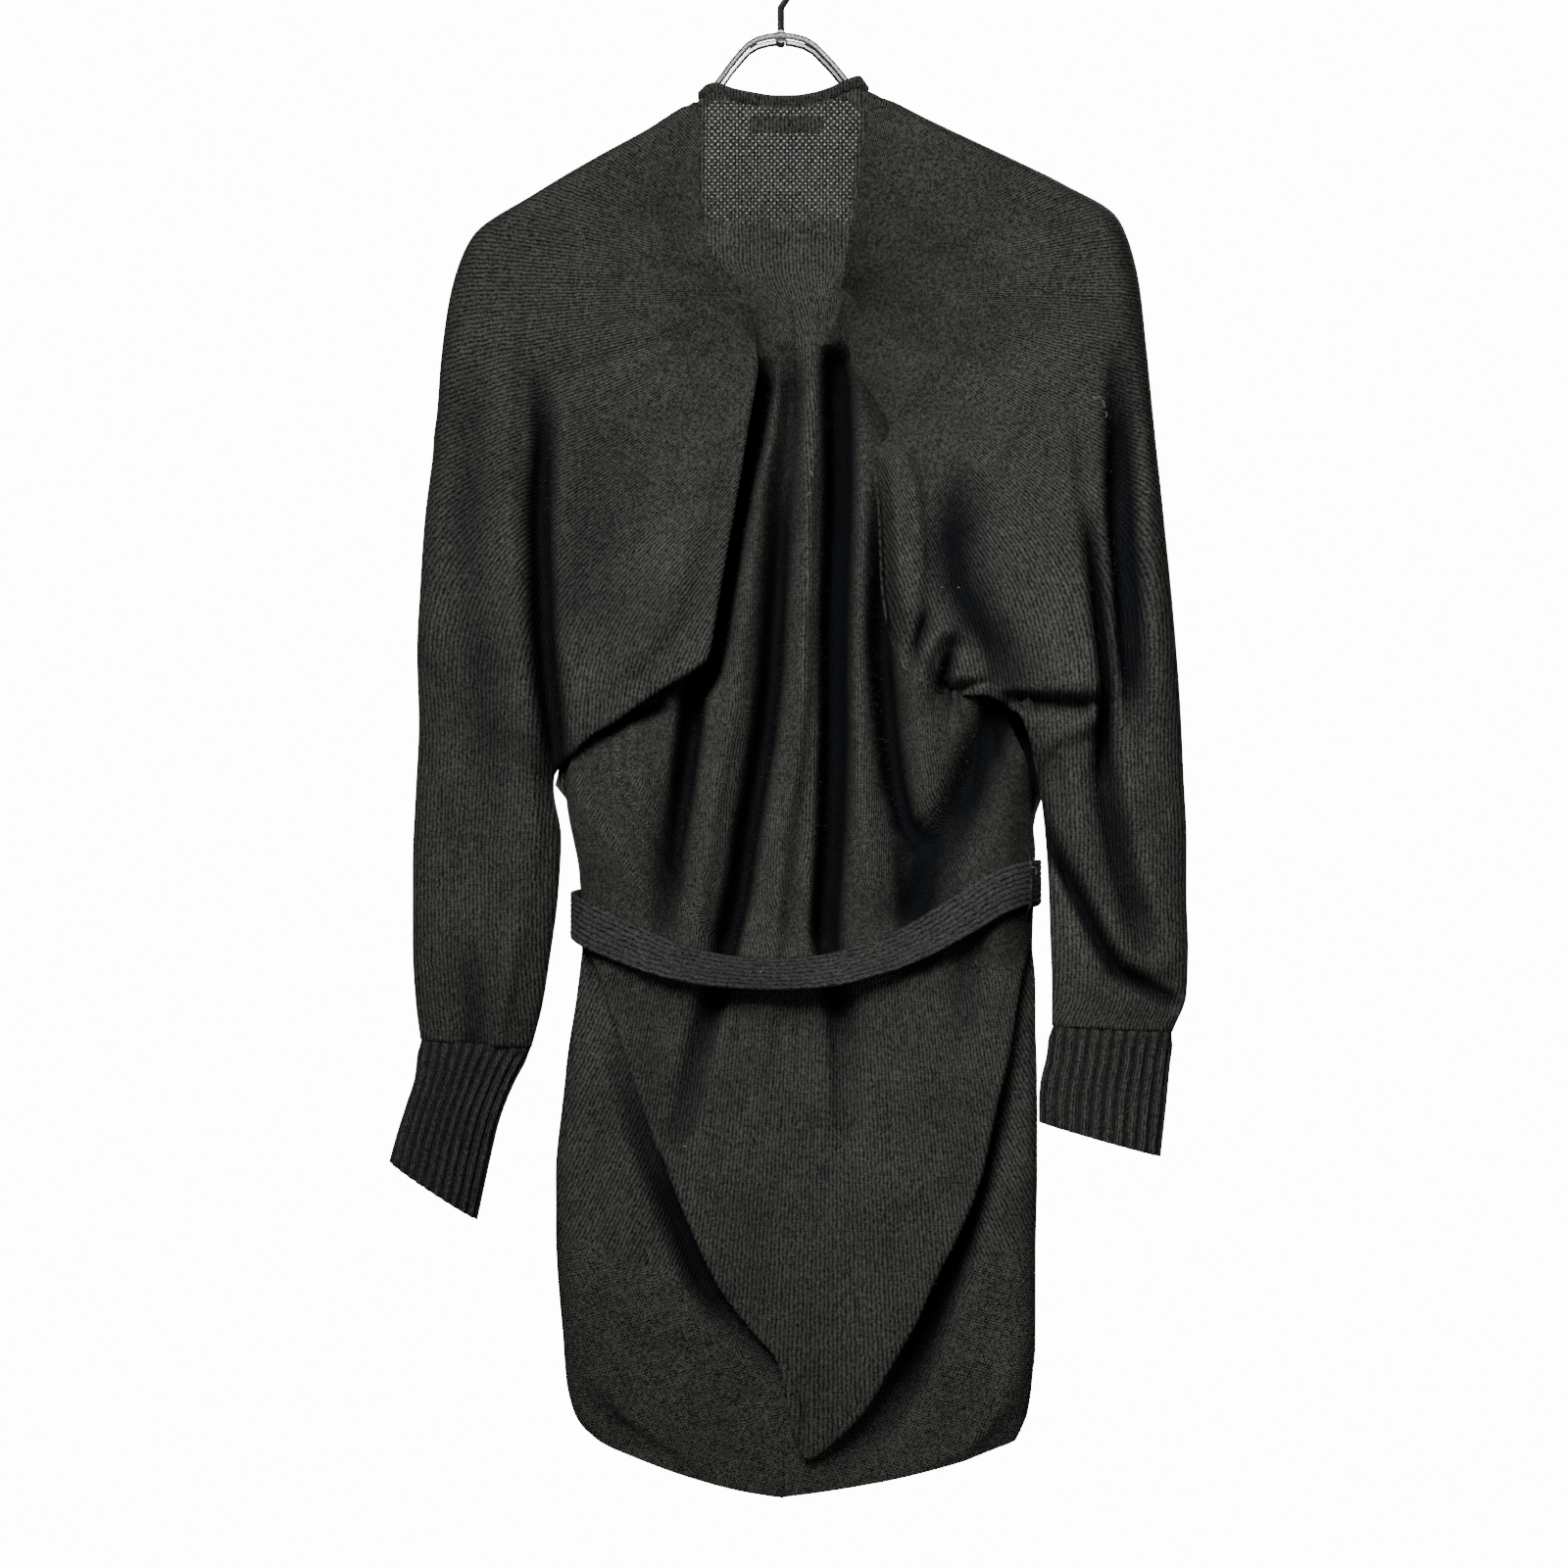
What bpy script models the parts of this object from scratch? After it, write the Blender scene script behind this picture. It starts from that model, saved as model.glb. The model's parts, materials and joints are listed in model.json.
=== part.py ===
"""Long knitted cardigan with batwing sleeves, hanging on a double-wire hanger.

The back faces -Y, so a camera that looks along +Y sees the gathered centre back, the two loose
back flaps of the sleeves, the sash belt and the wrapped hem. +Z is up and +X is to the right in
that view. The origin is where the hanger's hook rests on its rail. Tables are in millimetres:
x is across, drop is the distance below the neck, and proud is the distance in front of the
hanger's middle plane on the side that the table describes.
"""

import math
from collections import namedtuple

import bmesh
import bpy
import numpy as np

MM = 0.001

# Driving sizes, in millimetres
WALL = 2.4                # thickness of the knitted cloth
SEAM = 0.4                # gap left between two sewn edges
NECK_BELOW_HOOK = 104     # from the rail down to the neck points
BODY_LENGTH = 903         # neck point to the lowest point of the hem
FOLD_RADIUS = 2.6         # radius of a soft folded edge
SIDE_ROUND = 26           # how far from the side the body turns from back to front
SIDE_GAP = 0.45           # from the middle plane to the side edges of the back and the fronts
CUFF_SEAM = 0.7           # gap left where a cuff is sewn to its sleeve
CUFF_RIBS = 22
RIB_RISE = 1.1
BELT_WIDTH = 27
BELT_THICK = 3.0
HOOK_RADIUS = 21
HOOK_WIRE = 2.3
WIRE = 2.1                # radius of the hanger's rods
WIRE_DEPTH = 11.5         # each rod's distance from the middle plane

Colour = namedtuple("Colour", "name rgb roughness metallic")
WOOL = Colour("dark olive wool", (0.036, 0.034, 0.027), 0.95, 0.0)
RIB_WOOL = Colour("dark olive rib", (0.032, 0.030, 0.024), 0.95, 0.0)
LABEL = Colour("black label", (0.012, 0.012, 0.012), 0.8, 0.0)
CHROME = Colour("chromed steel", (0.78, 0.78, 0.79), 0.12, 1.0)


# Tables and curves

def smooth(places, values, at):
    """Monotone cubic through a table's rows, so that a value never overshoots its neighbours."""
    places, values, at = (np.asarray(a, float) for a in (places, values, at))
    step = np.diff(places)
    slope = np.diff(values) / step
    turn = np.zeros(len(places))
    same = slope[:-1] * slope[1:] > 0
    with np.errstate(divide="ignore", invalid="ignore"):
        turn[1:-1] = np.where(same, 2 * slope[:-1] * slope[1:] / (slope[:-1] + slope[1:]), 0)
    turn[0], turn[-1] = slope[0], slope[-1]
    at = np.clip(at, places[0], places[-1])
    i = np.clip(np.searchsorted(places, at, side="right") - 1, 0, len(step) - 1)
    t = (at - places[i]) / step[i]
    rise = values[i + 1] - values[i]
    return (values[i] + rise * t * t * (3 - 2 * t)
            + step[i] * t * (1 - t) * (turn[i] * (1 - t) - turn[i + 1] * t))


def column(rows, name, at, key=None):
    """One named column of a table at the given places, by its key column or by row number."""
    places = range(len(rows)) if key is None else [getattr(row, key) for row in rows]
    return smooth(list(places), [getattr(row, name) for row in rows], at)


def ramp(value, start, end):
    """0 before start, 1 after end, and a smooth step between."""
    t = np.clip((np.asarray(value, float) - start) / (end - start), 0, 1)
    return t * t * (3 - 2 * t)


# Folds: each runs along a few points, and is soft or steep on either side

Fold = namedtuple("Fold", "name rise left right points")
Point = namedtuple("Point", "x drop strength")


def fold_height(fold, x, drop):
    """How far a fold lifts the cloth at (x, drop). Left and right are the widths on each side of
    the path, as seen going along it downwards on the page."""
    points = [Point(*row) for row in fold.points]
    nearest = np.full(np.shape(x), 1e9)
    strength = np.zeros(np.shape(x))
    side = np.zeros(np.shape(x))
    for a, b in zip(points, points[1:]):
        run, fall = b.x - a.x, b.drop - a.drop
        length = math.hypot(run, fall)
        t = np.clip(((x - a.x) * run + (drop - a.drop) * fall) / length ** 2, 0, 1)
        away_x, away_drop = x - a.x - t * run, drop - a.drop - t * fall
        away = np.hypot(away_x, away_drop)
        closer = away < nearest
        nearest = np.where(closer, away, nearest)
        strength = np.where(closer, a.strength + (b.strength - a.strength) * t, strength)
        side = np.where(closer, away_x * fall - away_drop * run, side)
    width = np.where(side < 0, fold.left, fold.right)
    return fold.rise * strength * np.exp(-(nearest / width) ** 2)


def folded(folds, x, drop):
    return sum(fold_height(fold, x, drop) for fold in folds)


# Outlines of the body, as seen from the back

Side = namedtuple("Side", "drop left right")
BODY_SIDES = [
    Side(433, -138, 160),
    Side(465, -136, 161),
    Side(503, -129, 163),
    Side(541, -127, 161),
    Side(578, -131, 163),
    Side(635, -138, 164),
    Side(692, -144, 164),
    Side(748, -143, 163),
    Side(805, -139, 163),
    Side(843, -134, 158),
    Side(863, -122, 153),
]


def side_places(width, count, reach=SIDE_ROUND, steps=4):
    """Distances in from a side edge: even turns round the side, then even steps to the width."""
    reach = min(reach, width / 2)
    turns = reach * (1 - np.cos(np.linspace(0, np.pi / 2, steps + 1)))
    return np.concatenate([turns, np.linspace(reach, width, count - steps + 1)[1:]])


def side_round(x, drop, reach=SIDE_ROUND):
    """0 at the body's side outline and 1 inside it, along a quarter of an ellipse."""
    left = column(BODY_SIDES, "left", drop, "drop")
    right = column(BODY_SIDES, "right", drop, "drop")
    inside = np.clip(np.minimum(x - left, right - x) / reach, 0, 1)
    return np.sqrt(1 - (1 - inside) ** 2)


# The back: neck panel, gathered centre, pleats, and the pointed panel below the belt

BackRow = namedtuple("BackRow", "drop left right proud")
BACK_ROWS = [
    BackRow(4, -54, 58, 17),
    BackRow(37, -47, 54, 17.5),
    BackRow(74, -38, 48, 18.5),
    BackRow(112, -29, 42, 19.5),
    BackRow(131, -25, 38, 20),
    BackRow(151, -17, 37, 20),
    BackRow(164, -17, 37, 20),
    BackRow(213, -33, 62, 20),
    BackRow(263, -54, 87, 20),
    BackRow(314, -74, 106, 20),
    BackRow(364, -99, 128, 20),
    BackRow(408, -119, 147, 20.5),
    BackRow(446, -138, 160, 23),
    BackRow(503, -129, 163, 24),
    BackRow(547, -127, 161, 26),
    BackRow(610, -127, 161, 29),
    BackRow(698, -127, 161, 31),
    BackRow(881, -127, 161, 31),
]
Edge = namedtuple("Edge", "x drop")
POINTED_EDGE = [
    Edge(-127, 544), Edge(-117, 563), Edge(-99, 610), Edge(-79, 668), Edge(-67, 699),
    Edge(-49, 742), Edge(-35, 769), Edge(-16, 794), Edge(1, 815), Edge(9, 847),
    Edge(16, 874), Edge(33, 863), Edge(52, 843), Edge(68, 816), Edge(84, 788),
    Edge(96, 761), Edge(109, 736), Edge(125, 696), Edge(134, 654),
    Edge(144, 614), Edge(151, 575), Edge(161, 541),
]
NECK_DIP = 5              # how far the back neck edge sags below its ends
PLEATS = [
    Fold("left trough", -13, 7, 7, [(-23, 135, 0), (-18, 150, 0.75), (-18, 166, 0.85),
         (-18, 194, 0.9), (-22, 226, 1), (-31, 295, 1), (-41, 352, 1), (-61, 408, 1), (-66, 478, 0.9), (-69, 541, 0.7)]),
    Fold("left ridge", 14, 8, 7, [(-1, 163, 0), (-4, 194, 0.6), (-11, 244, 0.8),
         (-18, 295, 0.9), (-26, 358, 1), (-36, 427, 0.9), (-43, 484, 0.8),
         (-49, 547, 0.5), (-51, 597, 0)]),
    Fold("second trough", -7, 6, 6, [(9, 164, 0), (7, 207, 0.6), (2, 270, 0.8),
         (-4, 345, 0.9), (-12, 421, 1), (-21, 484, 1.1), (-28, 547, 0.9),
         (-31, 578, 0.2)]),
    Fold("centre ridge", 16, 9, 6, [(20, 160, 0), (20, 185, 0.6), (18, 244, 0.9),
         (16, 320, 1), (13, 383, 1), (6, 446, 0.95), (0, 509, 0.85),
         (-3, 556, 0.6), (-6, 610, 0.2)]),
    Fold("centre trough", -12, 6, 6, [(31, 164, 0), (32, 191, 0.9), (33, 244, 1),
         (32, 320, 1), (30, 396, 1), (28, 471, 1), (26, 547, 0.8), (28, 585, 0.1)]),
    Fold("right ridge", 13, 8, 9, [(41, 164, 0), (43, 200, 0.3), (49, 257, 0.75),
         (49, 320, 0.9), (50, 383, 1), (54, 446, 0.9), (59, 503, 0.8),
         (60, 547, 0.5), (60, 604, 0.15)]),
    Fold("right tuck", -8, 5, 7, [(38, 135, 0), (42, 152, 0.8), (49, 176, 1),
         (59, 213, 0.8), (68, 251, 0)]),
    Fold("right trough", -10, 8, 9, [(65, 257, 0.2), (67, 307, 1), (64, 370, 1),
         (70, 427, 1), (79, 478, 0.9), (93, 528, 0.6), (100, 559, 0.1)]),
    Fold("left body swell", 5, 22, 14, [(-99, 396, 0.6), (-94, 446, 1), (-93, 496, 0.9),
         (-93, 559, 0.2)]),
    Fold("left body pocket", -6, 6, 5, [(-124, 407, 0.4), (-96, 397, 1), (-75, 387, 1)]),
    Fold("right body hollow", -7, 14, 14, [(134, 405, 1), (112, 465, 1), (106, 509, 0.8),
         (112, 541, 0.2)]),
    Fold("right body swell", 4, 12, 12, [(150, 433, 0.6), (147, 471, 1), (137, 509, 0.8)]),
    Fold("skirt trough", -8, 12, 9, [(-39, 563, 0.6), (-45, 597, 1), (-54, 641, 0.9),
         (-61, 682, 0)]),
    Fold("skirt ridge", 3, 14, 26, [(-14, 566, 0.8), (-14, 635, 1), (-17, 730, 0.8),
         (-4, 811, 0.2)]),
    Fold("skirt hollow", -4, 14, 14, [(35, 566, 1), (37, 629, 1), (33, 685, 0.2)]),
    Fold("skirt right hollow", -3, 14, 14, [(118, 556, 0.9), (117, 610, 0.7),
         (112, 654, 0)]),
    Fold("skirt edge crease", -3, 6, 9, [(-61, 693, 0.4), (-36, 706, 0.9), (-23, 737, 0)]),
    Fold("skirt level crease", -2, 7, 7, [(38, 713, 0.6), (65, 712, 1),
         (103, 703, 0.4)]),
]
Spread = namedtuple("Spread", "share place")
BACK_ACROSS = [
    # share of the columns against share of the width, closest where the pleats are
    Spread(0, 0), Spread(0.025, 0.007), Spread(0.05, 0.026), Spread(0.075, 0.055),
    Spread(0.1, 0.09), Spread(0.16, 0.2), Spread(0.84, 0.74), Spread(0.9, 0.91),
    Spread(0.925, 0.945), Spread(0.95, 0.974), Spread(0.975, 0.993), Spread(1, 1),
]
BACK_DOWN = [
    # share of the rows against share of the length, closest at the gathered point
    Spread(0, 0), Spread(0.12, 0.14), Spread(0.32, 0.24), Spread(0.56, 0.48), Spread(1, 1),
]


def proud_back(x, drop):
    """How far the back's middle surface stands in front of the hanger's middle plane."""
    level = column(BACK_ROWS, "proud", drop, "drop")
    turned = ramp(drop, 383, 446)
    sides = 1 - turned * (1 - side_round(x, drop))
    return sides * (level + folded(PLEATS, x, drop)) + SIDE_GAP


def spread(rows, count):
    return column(rows, "place", np.linspace(0, 1, count + 1), "share")


def back_grid(columns, rows, lip_steps):
    """Rows of points from the neck down to the pointed lower edge, then round its folded lip."""
    across = spread(BACK_ACROSS, columns)
    belt_drop = 544
    left_end, right_end = POINTED_EDGE[0].x, POINTED_EDGE[-1].x
    end_x = left_end + across * (right_end - left_end)
    end_drop = smooth([e.x for e in POINTED_EDGE], [e.drop for e in POINTED_EDGE], end_x)
    grid = []
    for v in spread(BACK_DOWN, rows):
        top = 4 + NECK_DIP * (1 - (2 * across - 1) ** 2)
        drop = top + (end_drop - FOLD_RADIUS - top) * v
        left = column(BACK_ROWS, "left", drop, "drop")
        right = column(BACK_ROWS, "right", drop, "drop")
        x = left + across * (right - left)
        below = ramp(drop, belt_drop - 60, belt_drop)
        x = x * (1 - below) + end_x * below
        grid.append(np.stack([x, drop, proud_back(x, drop)], axis=-1))
    turned = ramp(side_round(grid[-1][:, 0], grid[-1][:, 1]), 0, 1)
    return np.array(grid + folded_edge(grid[-1], grid[-2], 1, lip_steps, 12, turned))


def folded_edge(edge, before, facing, steps, length, turned):
    """Rows that carry a sheet past its edge, round a fold and back inside. Where turned is 1 the
    cloth turns right back, and where it is 0 it only runs on a little. Facing is 1 on the back
    and -1 on the front."""
    turned = np.clip(turned * np.ones(len(edge)), 0.02, 1)[:, None]
    ahead = edge - before
    ahead /= np.linalg.norm(ahead, axis=1)[:, None]
    along = np.gradient(edge, axis=0)
    along /= np.linalg.norm(along, axis=1)[:, None]
    ahead -= along * (ahead * along).sum(axis=1)[:, None]
    ahead /= np.linalg.norm(ahead, axis=1)[:, None]
    inward = np.array([0, 0, -1.0 * facing]) - ahead * (ahead[:, 2:] * -facing)
    inward /= np.linalg.norm(inward, axis=1)[:, None]
    run = math.pi * FOLD_RADIUS * (0.3 + 0.7 * turned)
    angle = math.pi * turned
    rows = []
    for k in range(1, steps + 1):
        turn = angle * k / steps
        rows.append(edge + run / angle * (np.sin(turn) * ahead + (1 - np.cos(turn)) * inward))
    under = rows[-1] + length * turned * (np.cos(angle) * ahead + np.sin(angle) * inward)
    return rows + [under]


# The sleeves: each is one knitted piece, from the cuff up the arm, over the shoulder and on to the
# gathered centre back. It wraps over the shoulder from its back edge to its front edge.

Station = namedtuple(
    "Station",
    "inner_x inner_drop outer_x outer_drop front_x front_drop back front open shoulder")
LEFT_SLEEVE = [
    Station(-161, 615, -231, 610, -161, 615, 13, 13, 0, 46),
    Station(-154, 588, -234, 585, -154, 588, 19, 18, 0, 46),
    Station(-149, 556, -236, 547, -149, 556, 22, 21, 0, 46),
    Station(-144, 518, -236, 501, -144, 518, 24, 22, 0, 46),
    Station(-142, 481, -234, 452, -142, 481, 25, 22.5, 0, 46),
    Station(-148, 447, -232, 407, -147, 447, 27, 23, 0.1, 46),
    Station(-130, 423, -233, 363, -139, 408, 36.5, 24.4, 0.8, 46),
    Station(-108, 405, -231, 320, -133, 377, 38, 24, 1, 46),
    Station(-81, 386, -228, 276, -127, 345, 39, 23.4, 1, 46),
    Station(-56, 368, -223, 229, -120, 314, 40, 23, 1, 46),
    Station(-45, 345, -218, 181, -113, 282, 40, 22.4, 1, 44),
    Station(-38, 304, -212, 134, -105, 251, 38, 22, 1, 34),
    Station(-30, 260, -198, 96, -98, 213, 36, 21.3, 1, 20),
    Station(-23, 216, -159, 69, -89, 172, 33, 20.4, 1, 14),
    Station(-17, 178, -117, 44, -81, 131, 29, 19.4, 1, 12),
    Station(-20, 153, -83, 25, -71, 90, 25, 18.4, 1, 11),
    Station(-27, 129, -56, 7, -60, 46, 20.5, 17.5, 1, 9),
]
RIGHT_SLEEVE = [
    Station(175, 601, 251, 605, 175, 601, 13, 13, 0, 46),
    Station(175, 575, 260, 580, 175, 575, 18, 18, 0, 46),
    Station(174, 544, 261, 550, 174, 544, 21, 20, 0, 46),
    Station(173, 512, 260, 518, 173, 512, 23, 21, 0, 46),
    Station(171, 481, 260, 484, 171, 481, 25, 22, 0, 46),
    Station(167, 446, 258, 440, 167, 446, 27, 23, 0.1, 46),
    Station(159, 416, 256, 397, 159, 405, 32, 24.4, 0.75, 46),
    Station(146, 393, 253, 355, 154, 377, 35, 24, 1, 46),
    Station(127, 387, 249, 311, 149, 348, 37, 23.6, 1, 46),
    Station(106, 386, 244, 263, 142, 320, 38, 23.2, 1, 46),
    Station(86, 377, 239, 216, 135, 289, 38, 22.8, 1, 44),
    Station(73, 353, 234, 166, 129, 257, 37, 22.2, 1, 40),
    Station(67, 317, 229, 123, 120, 222, 36, 21.6, 1, 30),
    Station(65, 276, 216, 84, 112, 185, 35, 20.8, 1, 20),
    Station(60, 232, 181, 62, 103, 144, 32, 20, 1, 15),
    Station(52, 194, 140, 42, 92, 106, 29, 19, 1, 12),
    Station(45, 164, 100, 23, 79, 71, 25, 18, 1, 11),
    Station(41, 134, 60, 4, 65, 40, 21, 17.5, 1, 9),
]
LEFT_SLEEVE_FOLDS = [
    Fold("flap trough", -20, 9, 7, [(-152, 185, 0), (-151, 219, 0.5), (-150, 270, 0.8),
         (-149, 333, 0.95), (-147, 389, 1), (-146, 446, 0.7)]),
    Fold("sleeve ridge", 5, 10, 8, [(-169, 194, 0), (-168, 257, 0.8), (-164, 352, 1),
         (-159, 446, 1), (-159, 541, 0.5), (-168, 591, 0)]),
    Fold("sleeve hollow", -3, 10, 10, [(-188, 213, 0), (-192, 270, 1), (-196, 383, 0.8),
         (-200, 509, 0.3)]),
    Fold("sleeve crease", -3, 4, 7, [(-149, 509, 0.3), (-159, 547, 1), (-168, 578, 0.8),
         (-171, 604, 0.3)]),
    Fold("flap edge swell", 4, 16, 9, [(-26, 207, 0), (-39, 257, 0.7), (-61, 333, 1),
         (-93, 377, 0.6)]),
    Fold("flap hollow", -3, 26, 26, [(-99, 213, 0.4), (-108, 270, 1), (-118, 333, 0.7)]),
    Fold("gather crease", -1.6, 4, 5, [(-137, 189, 0.7), (-93, 170, 1), (-49, 155, 0.6)]),
    Fold("upper crease", -1.4, 4, 4, [(-89, 117, 0.5), (-61, 122, 1), (-25, 129, 0.8)]),
]
RIGHT_SLEEVE_FOLDS = [
    Fold("sleeve trough", -17, 8, 10, [(207, 175, 0), (209, 213, 0.6), (210, 270, 0.9),
         (210, 333, 1), (214, 383, 1), (209, 427, 0.9), (214, 471, 0.8),
         (230, 522, 0.5), (243, 550, 0)]),
    Fold("flap ridge", 6, 20, 9, [(173, 188, 0), (178, 244, 0.6), (186, 314, 0.9),
         (195, 364, 1), (197, 383, 0.9)]),
    Fold("flap ledge", 9, 3, 24, [(123, 385, 0), (147, 387, 0.6), (175, 388, 1),
         (202, 388, 0.9)]),
    Fold("ledge pocket", -9, 6, 4, [(161, 397, 0.3), (181, 398, 1), (193, 398, 1)]),
    Fold("ledge return", 5, 5, 4, [(202, 393, 0.8), (194, 410, 1), (175, 415, 0.9),
         (167, 426, 0.4)]),
    Fold("arm swell", 4, 9, 9, [(181, 430, 0.6), (186, 459, 1), (180, 496, 0.3)]),
    Fold("arm fold", 7, 3.5, 13, [(177, 471, 0), (193, 515, 0.8), (211, 548, 1),
         (232, 573, 1), (250, 591, 0.7)]),
    Fold("arm crease", -6, 5, 4, [(175, 496, 0.2), (191, 531, 1), (213, 563, 1),
         (238, 585, 0.8)]),
    Fold("flap dent", -9, 16, 20, [(104, 257, 0.3), (106, 295, 1), (118, 333, 0.7)]),
    Fold("flat diamond", -2.5, 20, 20, [(128, 188, 1), (122, 232, 1)]),
    Fold("gather crease", -1.6, 5, 4, [(60, 151, 0.8), (96, 164, 1), (164, 202, 0.5)]),
    Fold("arch", 5, 5, 5, [(90, 375, 0.8), (96, 360, 1), (106, 352, 1),
         (120, 362, 1), (130, 377, 0.6)]),
    Fold("arch pocket", -6, 5, 5, [(104, 378, 1), (109, 370, 0.8)]),
    Fold("arch trough", -6, 4, 5, [(93, 326, 0), (88, 348, 1), (85, 365, 0.8)]),
    Fold("third ridge", 6, 9, 8, [(70, 219, 0), (76, 257, 0.7), (81, 307, 1),
         (78, 358, 0.9)]),
]
FLAP_LIP = 10


def sleeve_depth(q, width, belly, opened, shoulder):
    """Height over the middle plane at q, from 0 at the outer edge to 1 at the inner one: a closed
    tube down the arm, and open at the inner edge where the sleeve becomes the body's flap."""
    tube = belly * 2 * np.sqrt(np.clip(q * (1 - q), 0, 1)) + SIDE_GAP * q
    inside = np.clip(q * width / shoulder, 0, 1)
    flap = belly * np.sqrt(1 - (1 - inside) ** 2)
    return tube * (1 - opened) + flap * opened


def sleeve_half(rows, folds, at, q, facing):
    """A half sheet of points from the outer edge (q 0) to the inner edge (q 1): the back half
    where facing is 1, the front half where it is -1."""
    value = {name: column(rows, name, at)[:, None] for name in Station._fields}
    side = ("inner_x", "inner_drop", "back") if facing > 0 else ("front_x", "front_drop", "front")
    inner_x, inner_drop, belly = (value[name] for name in side)
    run, fall = inner_x - value["outer_x"], inner_drop - value["outer_drop"]
    x = value["outer_x"] + run * q
    drop = value["outer_drop"] + fall * q
    proud = sleeve_depth(q, np.hypot(run, fall), belly, value["open"], value["shoulder"])
    if facing > 0:
        shut = 1 - value["open"]
        fade = np.clip(q / 0.1, 0, 1) * (1 - shut * np.clip((q - 0.88) / 0.12, 0, 1))
        proud = proud + fade * folded(folds, x, drop)
    return np.stack([x, drop, facing * proud], axis=-1)


def turns(count, reach):
    """Shares from 0 to reach, closer together at 0 and also at a reach of 1."""
    t = np.linspace(0, 1, count + 1)
    return (1 - np.cos(np.pi * t)) / 2 * reach


def sleeve_grid(rows, folds, along, back_count, front_count, lip_steps):
    """Columns of points from the folded lip of the back edge, over the shoulder, to the front
    edge, and a matching map of the cells to keep: the lip only runs along the open flap."""
    last = len(rows) - 1
    at = np.linspace(0, last, along + 1)
    back = sleeve_half(rows, folds, at, turns(back_count, 1), 1)
    front = sleeve_half(rows, folds, at, turns(front_count, 1), -1)
    turned = ramp(at, 5.4, 7) * (1 - 0.7 * ramp(at, last - 2.2, last - 0.8))
    lip = folded_edge(back[:, -1], back[:, -2], 1, lip_steps, FLAP_LIP, turned)
    columns = lip[::-1] + [back[:, k] for k in range(back_count, -1, -1)]
    columns += [front[:, k] for k in range(1, front_count + 1)]
    keep = np.ones((len(columns) - 1, along), bool)
    middle = (at[1:] + at[:-1]) / 2
    keep[:lip_steps + 1] = (middle > 5.6) & (middle < last - 1)
    return np.array(columns), keep


# The wrapped hem on the back, below the pointed panel: a left and a right half

HemRow = namedtuple("HemRow", "outer_x outer_drop inner_x inner_drop proud")
LEFT_HEM = [
    HemRow(-127, 552, -110, 554, 3),
    HemRow(-130, 578, -94, 578, 7),
    HemRow(-135, 613, -76, 619, 13),
    HemRow(-140, 654, -57, 660, 17),
    HemRow(-144, 698, -36, 707, 18.5),
    HemRow(-143, 748, -12, 752, 19),
    HemRow(-140, 789, 2, 786, 19),
    HemRow(-137, 830, 4, 837, 19),
    HemRow(-130, 854, 0, 874, 19),
    HemRow(-120, 864, -1, 901, 19),
]
RIGHT_HEM = [
    HemRow(161, 552, 144, 554, 3),
    HemRow(163, 578, 132, 578, 7),
    HemRow(163, 613, 120, 619, 13),
    HemRow(164, 654, 109, 660, 17),
    HemRow(164, 698, 93, 707, 18.5),
    HemRow(163, 748, 66, 752, 19),
    HemRow(163, 789, 41, 786, 19),
    HemRow(161, 827, 8, 837, 19),
    HemRow(158, 849, 1, 874, 19),
    HemRow(151, 866, 0, 901, 19),
]
HEM_SAG = 5               # how far the bottom edge bows down between its ends
LEFT_HEM_FOLDS = [
    Fold("hem shadow", -4, 16, 12, [(-67, 730, 0), (-39, 780, 1), (-4, 818, 0.8)]),
    Fold("turned corner", 3.5, 5, 7, [(-117, 825, 0.6), (-94, 849, 1), (-61, 873, 1),
         (-28, 892, 0.5)]),
    Fold("centre pinch", 3, 8, 3, [(2, 868, 0.5), (0, 901, 1)]),
]
RIGHT_HEM_FOLDS = [
    Fold("hem shadow", -4, 12, 16, [(112, 748, 0), (87, 805, 1), (46, 856, 0.9),
         (21, 881, 0.3)]),
    Fold("turned corner", 3.5, 7, 5, [(159, 808, 0.4), (149, 840, 1), (128, 869, 1),
         (100, 882, 0.4)]),
]


def hem_grid(rows, folds, down, across, sign):
    """Rows of points down from under the pointed panel, from the side in to the centre back. Sign
    is 1 for the left half and -1 for the right one."""
    grid = []
    for at in np.linspace(0, len(rows) - 1, down + 1):
        row = HemRow(*(float(column(rows, name, at)) for name in HemRow._fields))
        width = abs(row.inner_x - row.outer_x) - SEAM
        away = side_places(width, across, 0.8 * SIDE_ROUND)
        share = away / width
        x = row.outer_x + sign * away
        sag = HEM_SAG * math.sin(math.pi / 2 * ramp(at, len(rows) - 3, len(rows) - 1))
        drop = row.outer_drop + (row.inner_drop - row.outer_drop) * share
        drop = drop + sag * np.sin(np.pi * share)
        turned = np.sqrt(1 - (1 - np.clip(away / (0.8 * SIDE_ROUND), 0, 1)) ** 2)
        proud = turned * (row.proud + folded(folds, x, drop)) + SIDE_GAP
        grid.append(np.stack([x, drop, proud], axis=-1))
    return np.array(grid)


# The fronts: the right one laps over the left, and both hang from the sleeves' front edges

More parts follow.
